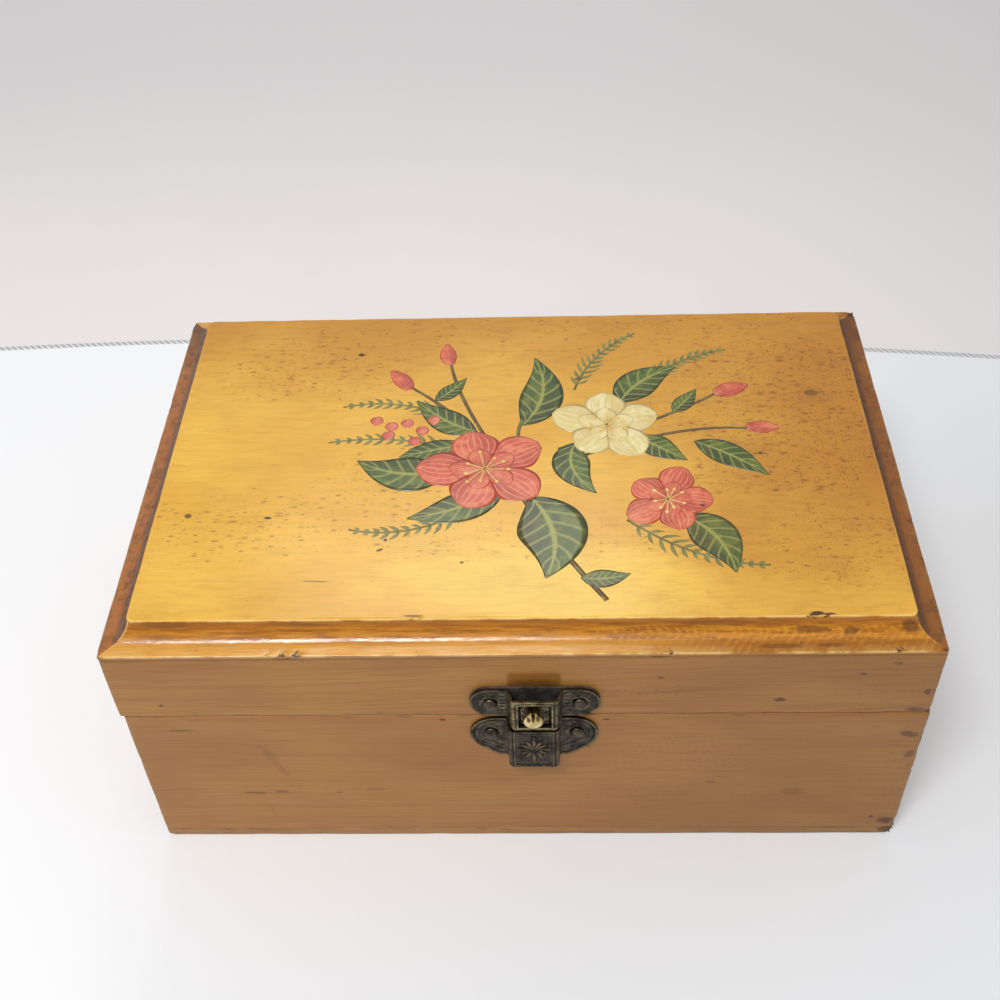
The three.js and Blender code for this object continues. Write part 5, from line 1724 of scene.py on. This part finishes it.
# The four pins: a shank in the wood and a domed head with small dents.
def addPins(material):
    shape = catchShape
    r, top, root = shape["pinHeadRadius"], shape["pinHeadHeight"], -shape["pinLength"]
    dome = [(r * math.cos(a), top * math.sin(a)) for a in np.linspace(0, np.pi / 2, shape["domeSteps"])]
    angles = np.linspace(0, 2 * np.pi, shape["turnSteps"], endpoint=False)
    for part, sheet, seat, body, seed in (
        ("bridge", bridgeShape, 1.2, "lid", 321), ("housing", housingShape, 0.7, "case", 325),
    ):
        for side, sign in (("left", -1), ("right", 1)):
            x, z = sheet["centre"] + sign * sheet["pin"][0], sheet["pin"][1]
            profile = [(0, root), (shape["pinRadius"], root), (shape["pinRadius"], seat), (r, seat)]
            profile += [(a, seat + b + 0.02) for a, b in dome[:-1]] + [(0, seat + top)]
            points = turnedPoints(profile, angles, (x, shape["woodY"], z))
            dents = np.zeros(points.shape[:2])
            dents[5:-1] = shape["pinDent"] * np.clip(lumps(points[5:-1], 1.5, seed + sign), -1, 1)
            points[..., 1] += np.abs(dents)
            for axis, middle in ((0, x), (2, z)):
                points[4:-1, :, axis] += (points[4:-1, :, axis] - middle) * dents[4:-1] * 0.8
            faces = gridQuads(*points.shape[:2], wrapColumns=True).tolist()
            worn = np.broadcast_to(np.linspace(0, 0.12, len(points))[:, None], points.shape[:2])
            addPiece(f"catch_{part}_pin_{side}", points, faces, [material], body,
                     {"worn": worn}, shape["sharp"], merge=True)


# The tongue: its side profile, a blade with a round foot, carried across; the front is chased inside the
# window.
def addTongue(material):
    shape = tongueShape
    footY, footZ, footRadius = shape["foot"]
    chasedFrom = (shape["front"], shape["chasedFrom"])
    front = densify(np.array([(shape["front"], footZ + 0.6), chasedFrom]), 1.0)
    seen = densify(np.array([chasedFrom, (shape["front"], shape["top"])]), 0.12)[1:]
    back = densify(np.array([(shape["back"], shape["top"]), (shape["back"], footZ + 0.4)]), 2.0)
    angle = np.linspace(0.35 * np.pi, -1.05 * np.pi, 14)
    foot = np.stack([footY + footRadius * np.cos(angle), footZ + footRadius * np.sin(angle)], 1)
    loop = np.concatenate([front, seen, back, foot])
    columns = np.linspace(-shape["half"], shape["half"], 62)
    x = np.broadcast_to(columns, (len(loop), len(columns)))
    z = np.broadcast_to(loop[:, 1:], x.shape)
    opening, low, high = bridgeShape["window"]
    inset = np.minimum(opening - np.abs(x), np.minimum(z - low, high - z))
    frameLine, groove = ridge(inset - 0.62, 0.13), ridge(inset - 0.25, 0.15)
    strokes = chased(x, z, shape["strokes"], 0.15)
    onFront = np.zeros((len(loop), 1))
    onFront[len(front): len(front) + len(seen) - 1] = 1
    height = onFront * (inset > 0) * (0.12 * frameLine + 0.11 * strokes - 0.05 * groove)
    points = np.stack([x + catchShape["centreX"], loop[:, :1] - height, z], -1)
    faces = gridQuads(len(loop), len(columns), wrapRows=True).tolist()
    starts = np.arange(len(loop)) * len(columns)
    faces += [starts.tolist(), (starts + len(columns) - 1)[::-1].tolist()]
    worn = onFront * np.clip(0.55 * frameLine + 0.5 * strokes, 0, 1)
    numbers = {"worn": worn, "cavity": onFront * cavityOf(height, catchShape["cavityDepth"])}
    addPiece("catch_spring_tongue", points, faces, [material], "catch_tongue", numbers,
             catchShape["sharp"])


# The knob: a turned dome, cleft upward from its middle by a wedge whose walls are planes through its axis,
# and drawn up and in toward its top.
def addKnob(material):
    shape = knobShape
    radius, height, centre = shape["radius"], shape["height"], shape["centre"]
    neckHeight, crownBase = height / 6, height * shape["crownBase"]
    lower = [(0, -shape["root"]), (shape["shank"], -shape["root"]), (shape["shank"], 0)]
    lower += [(shape["neck"], 0), (shape["neck"], neckHeight)]
    angle = np.linspace(shape["domeStart"], np.pi / 2, shape["domeSteps"])
    dome = np.stack([radius * np.cos(angle), crownBase + (height - crownBase) * np.sin(angle)], 1)
    dome = dome[dome[:, 1] > neckHeight + 0.1]
    dome[-1, 0] = 0
    profile = np.concatenate([lower, dome])
    cleft, up = shape["cleft"], np.pi / 2
    solid = np.linspace(up + cleft, 2.5 * np.pi - cleft, shape["turnSteps"])
    gap = np.linspace(up - cleft, up + cleft, shape["cleftSteps"])
    upper = (profile[:, 1] > neckHeight) & (profile[:, 0] > shape["cleftStart"] * radius)
    cut = profile.copy()
    cut[upper, 1] = np.minimum(cut[upper, 1], height * shape["cleftFloor"])
    cut[upper, 0] *= shape["cleftShare"]
    points = np.concatenate([turnedPoints(profile, solid, centre), turnedPoints(cut, gap, centre)], axis=1)
    rise = np.clip((points[..., 2] - centre[2]) / radius, 0, 1) ** 2
    points[..., 2] += shape["tall"] * rise
    points[..., 0] -= shape["narrow"] * rise * (points[..., 0] - centre[0])
    faces = gridQuads(*points.shape[:2], wrapColumns=True).tolist()
    body, slot = "catch_tongue", "knob_brass"
    knob = addPiece("catch_knob", points, faces, [material], body, sharp=0.7, merge=True)
    addBevel(knob, 0.07, 2, 0.7)


addCamera()
addStudio()
addTable()
print("camera and studio ready")
addBoards()
print("boards ready")
fieldHeight = addPanel()
print("top panel ready, field at", round(fieldHeight, 3))
addPrint()
print("print ready")
addHinges(oldMetal("hingeBrass"), oldMetal("pinSteel"))
patina = oldMetal("catchPatina", wearable=True)
stampedSheet("catch_bridge_plate", bridgeShape, bridgeRelief, patina, "lid")
stampedSheet("catch_housing_plate", housingShape, housingRelief, patina, "case")
easedCopy("catch_backplate", oldMetal("catchDarkSteel"), "lid", 0.06)
addPins(patina)
addTongue(patina)
addKnob(oldMetal("knobBrass", tarnish=knobTarnish))
print("metal ready")
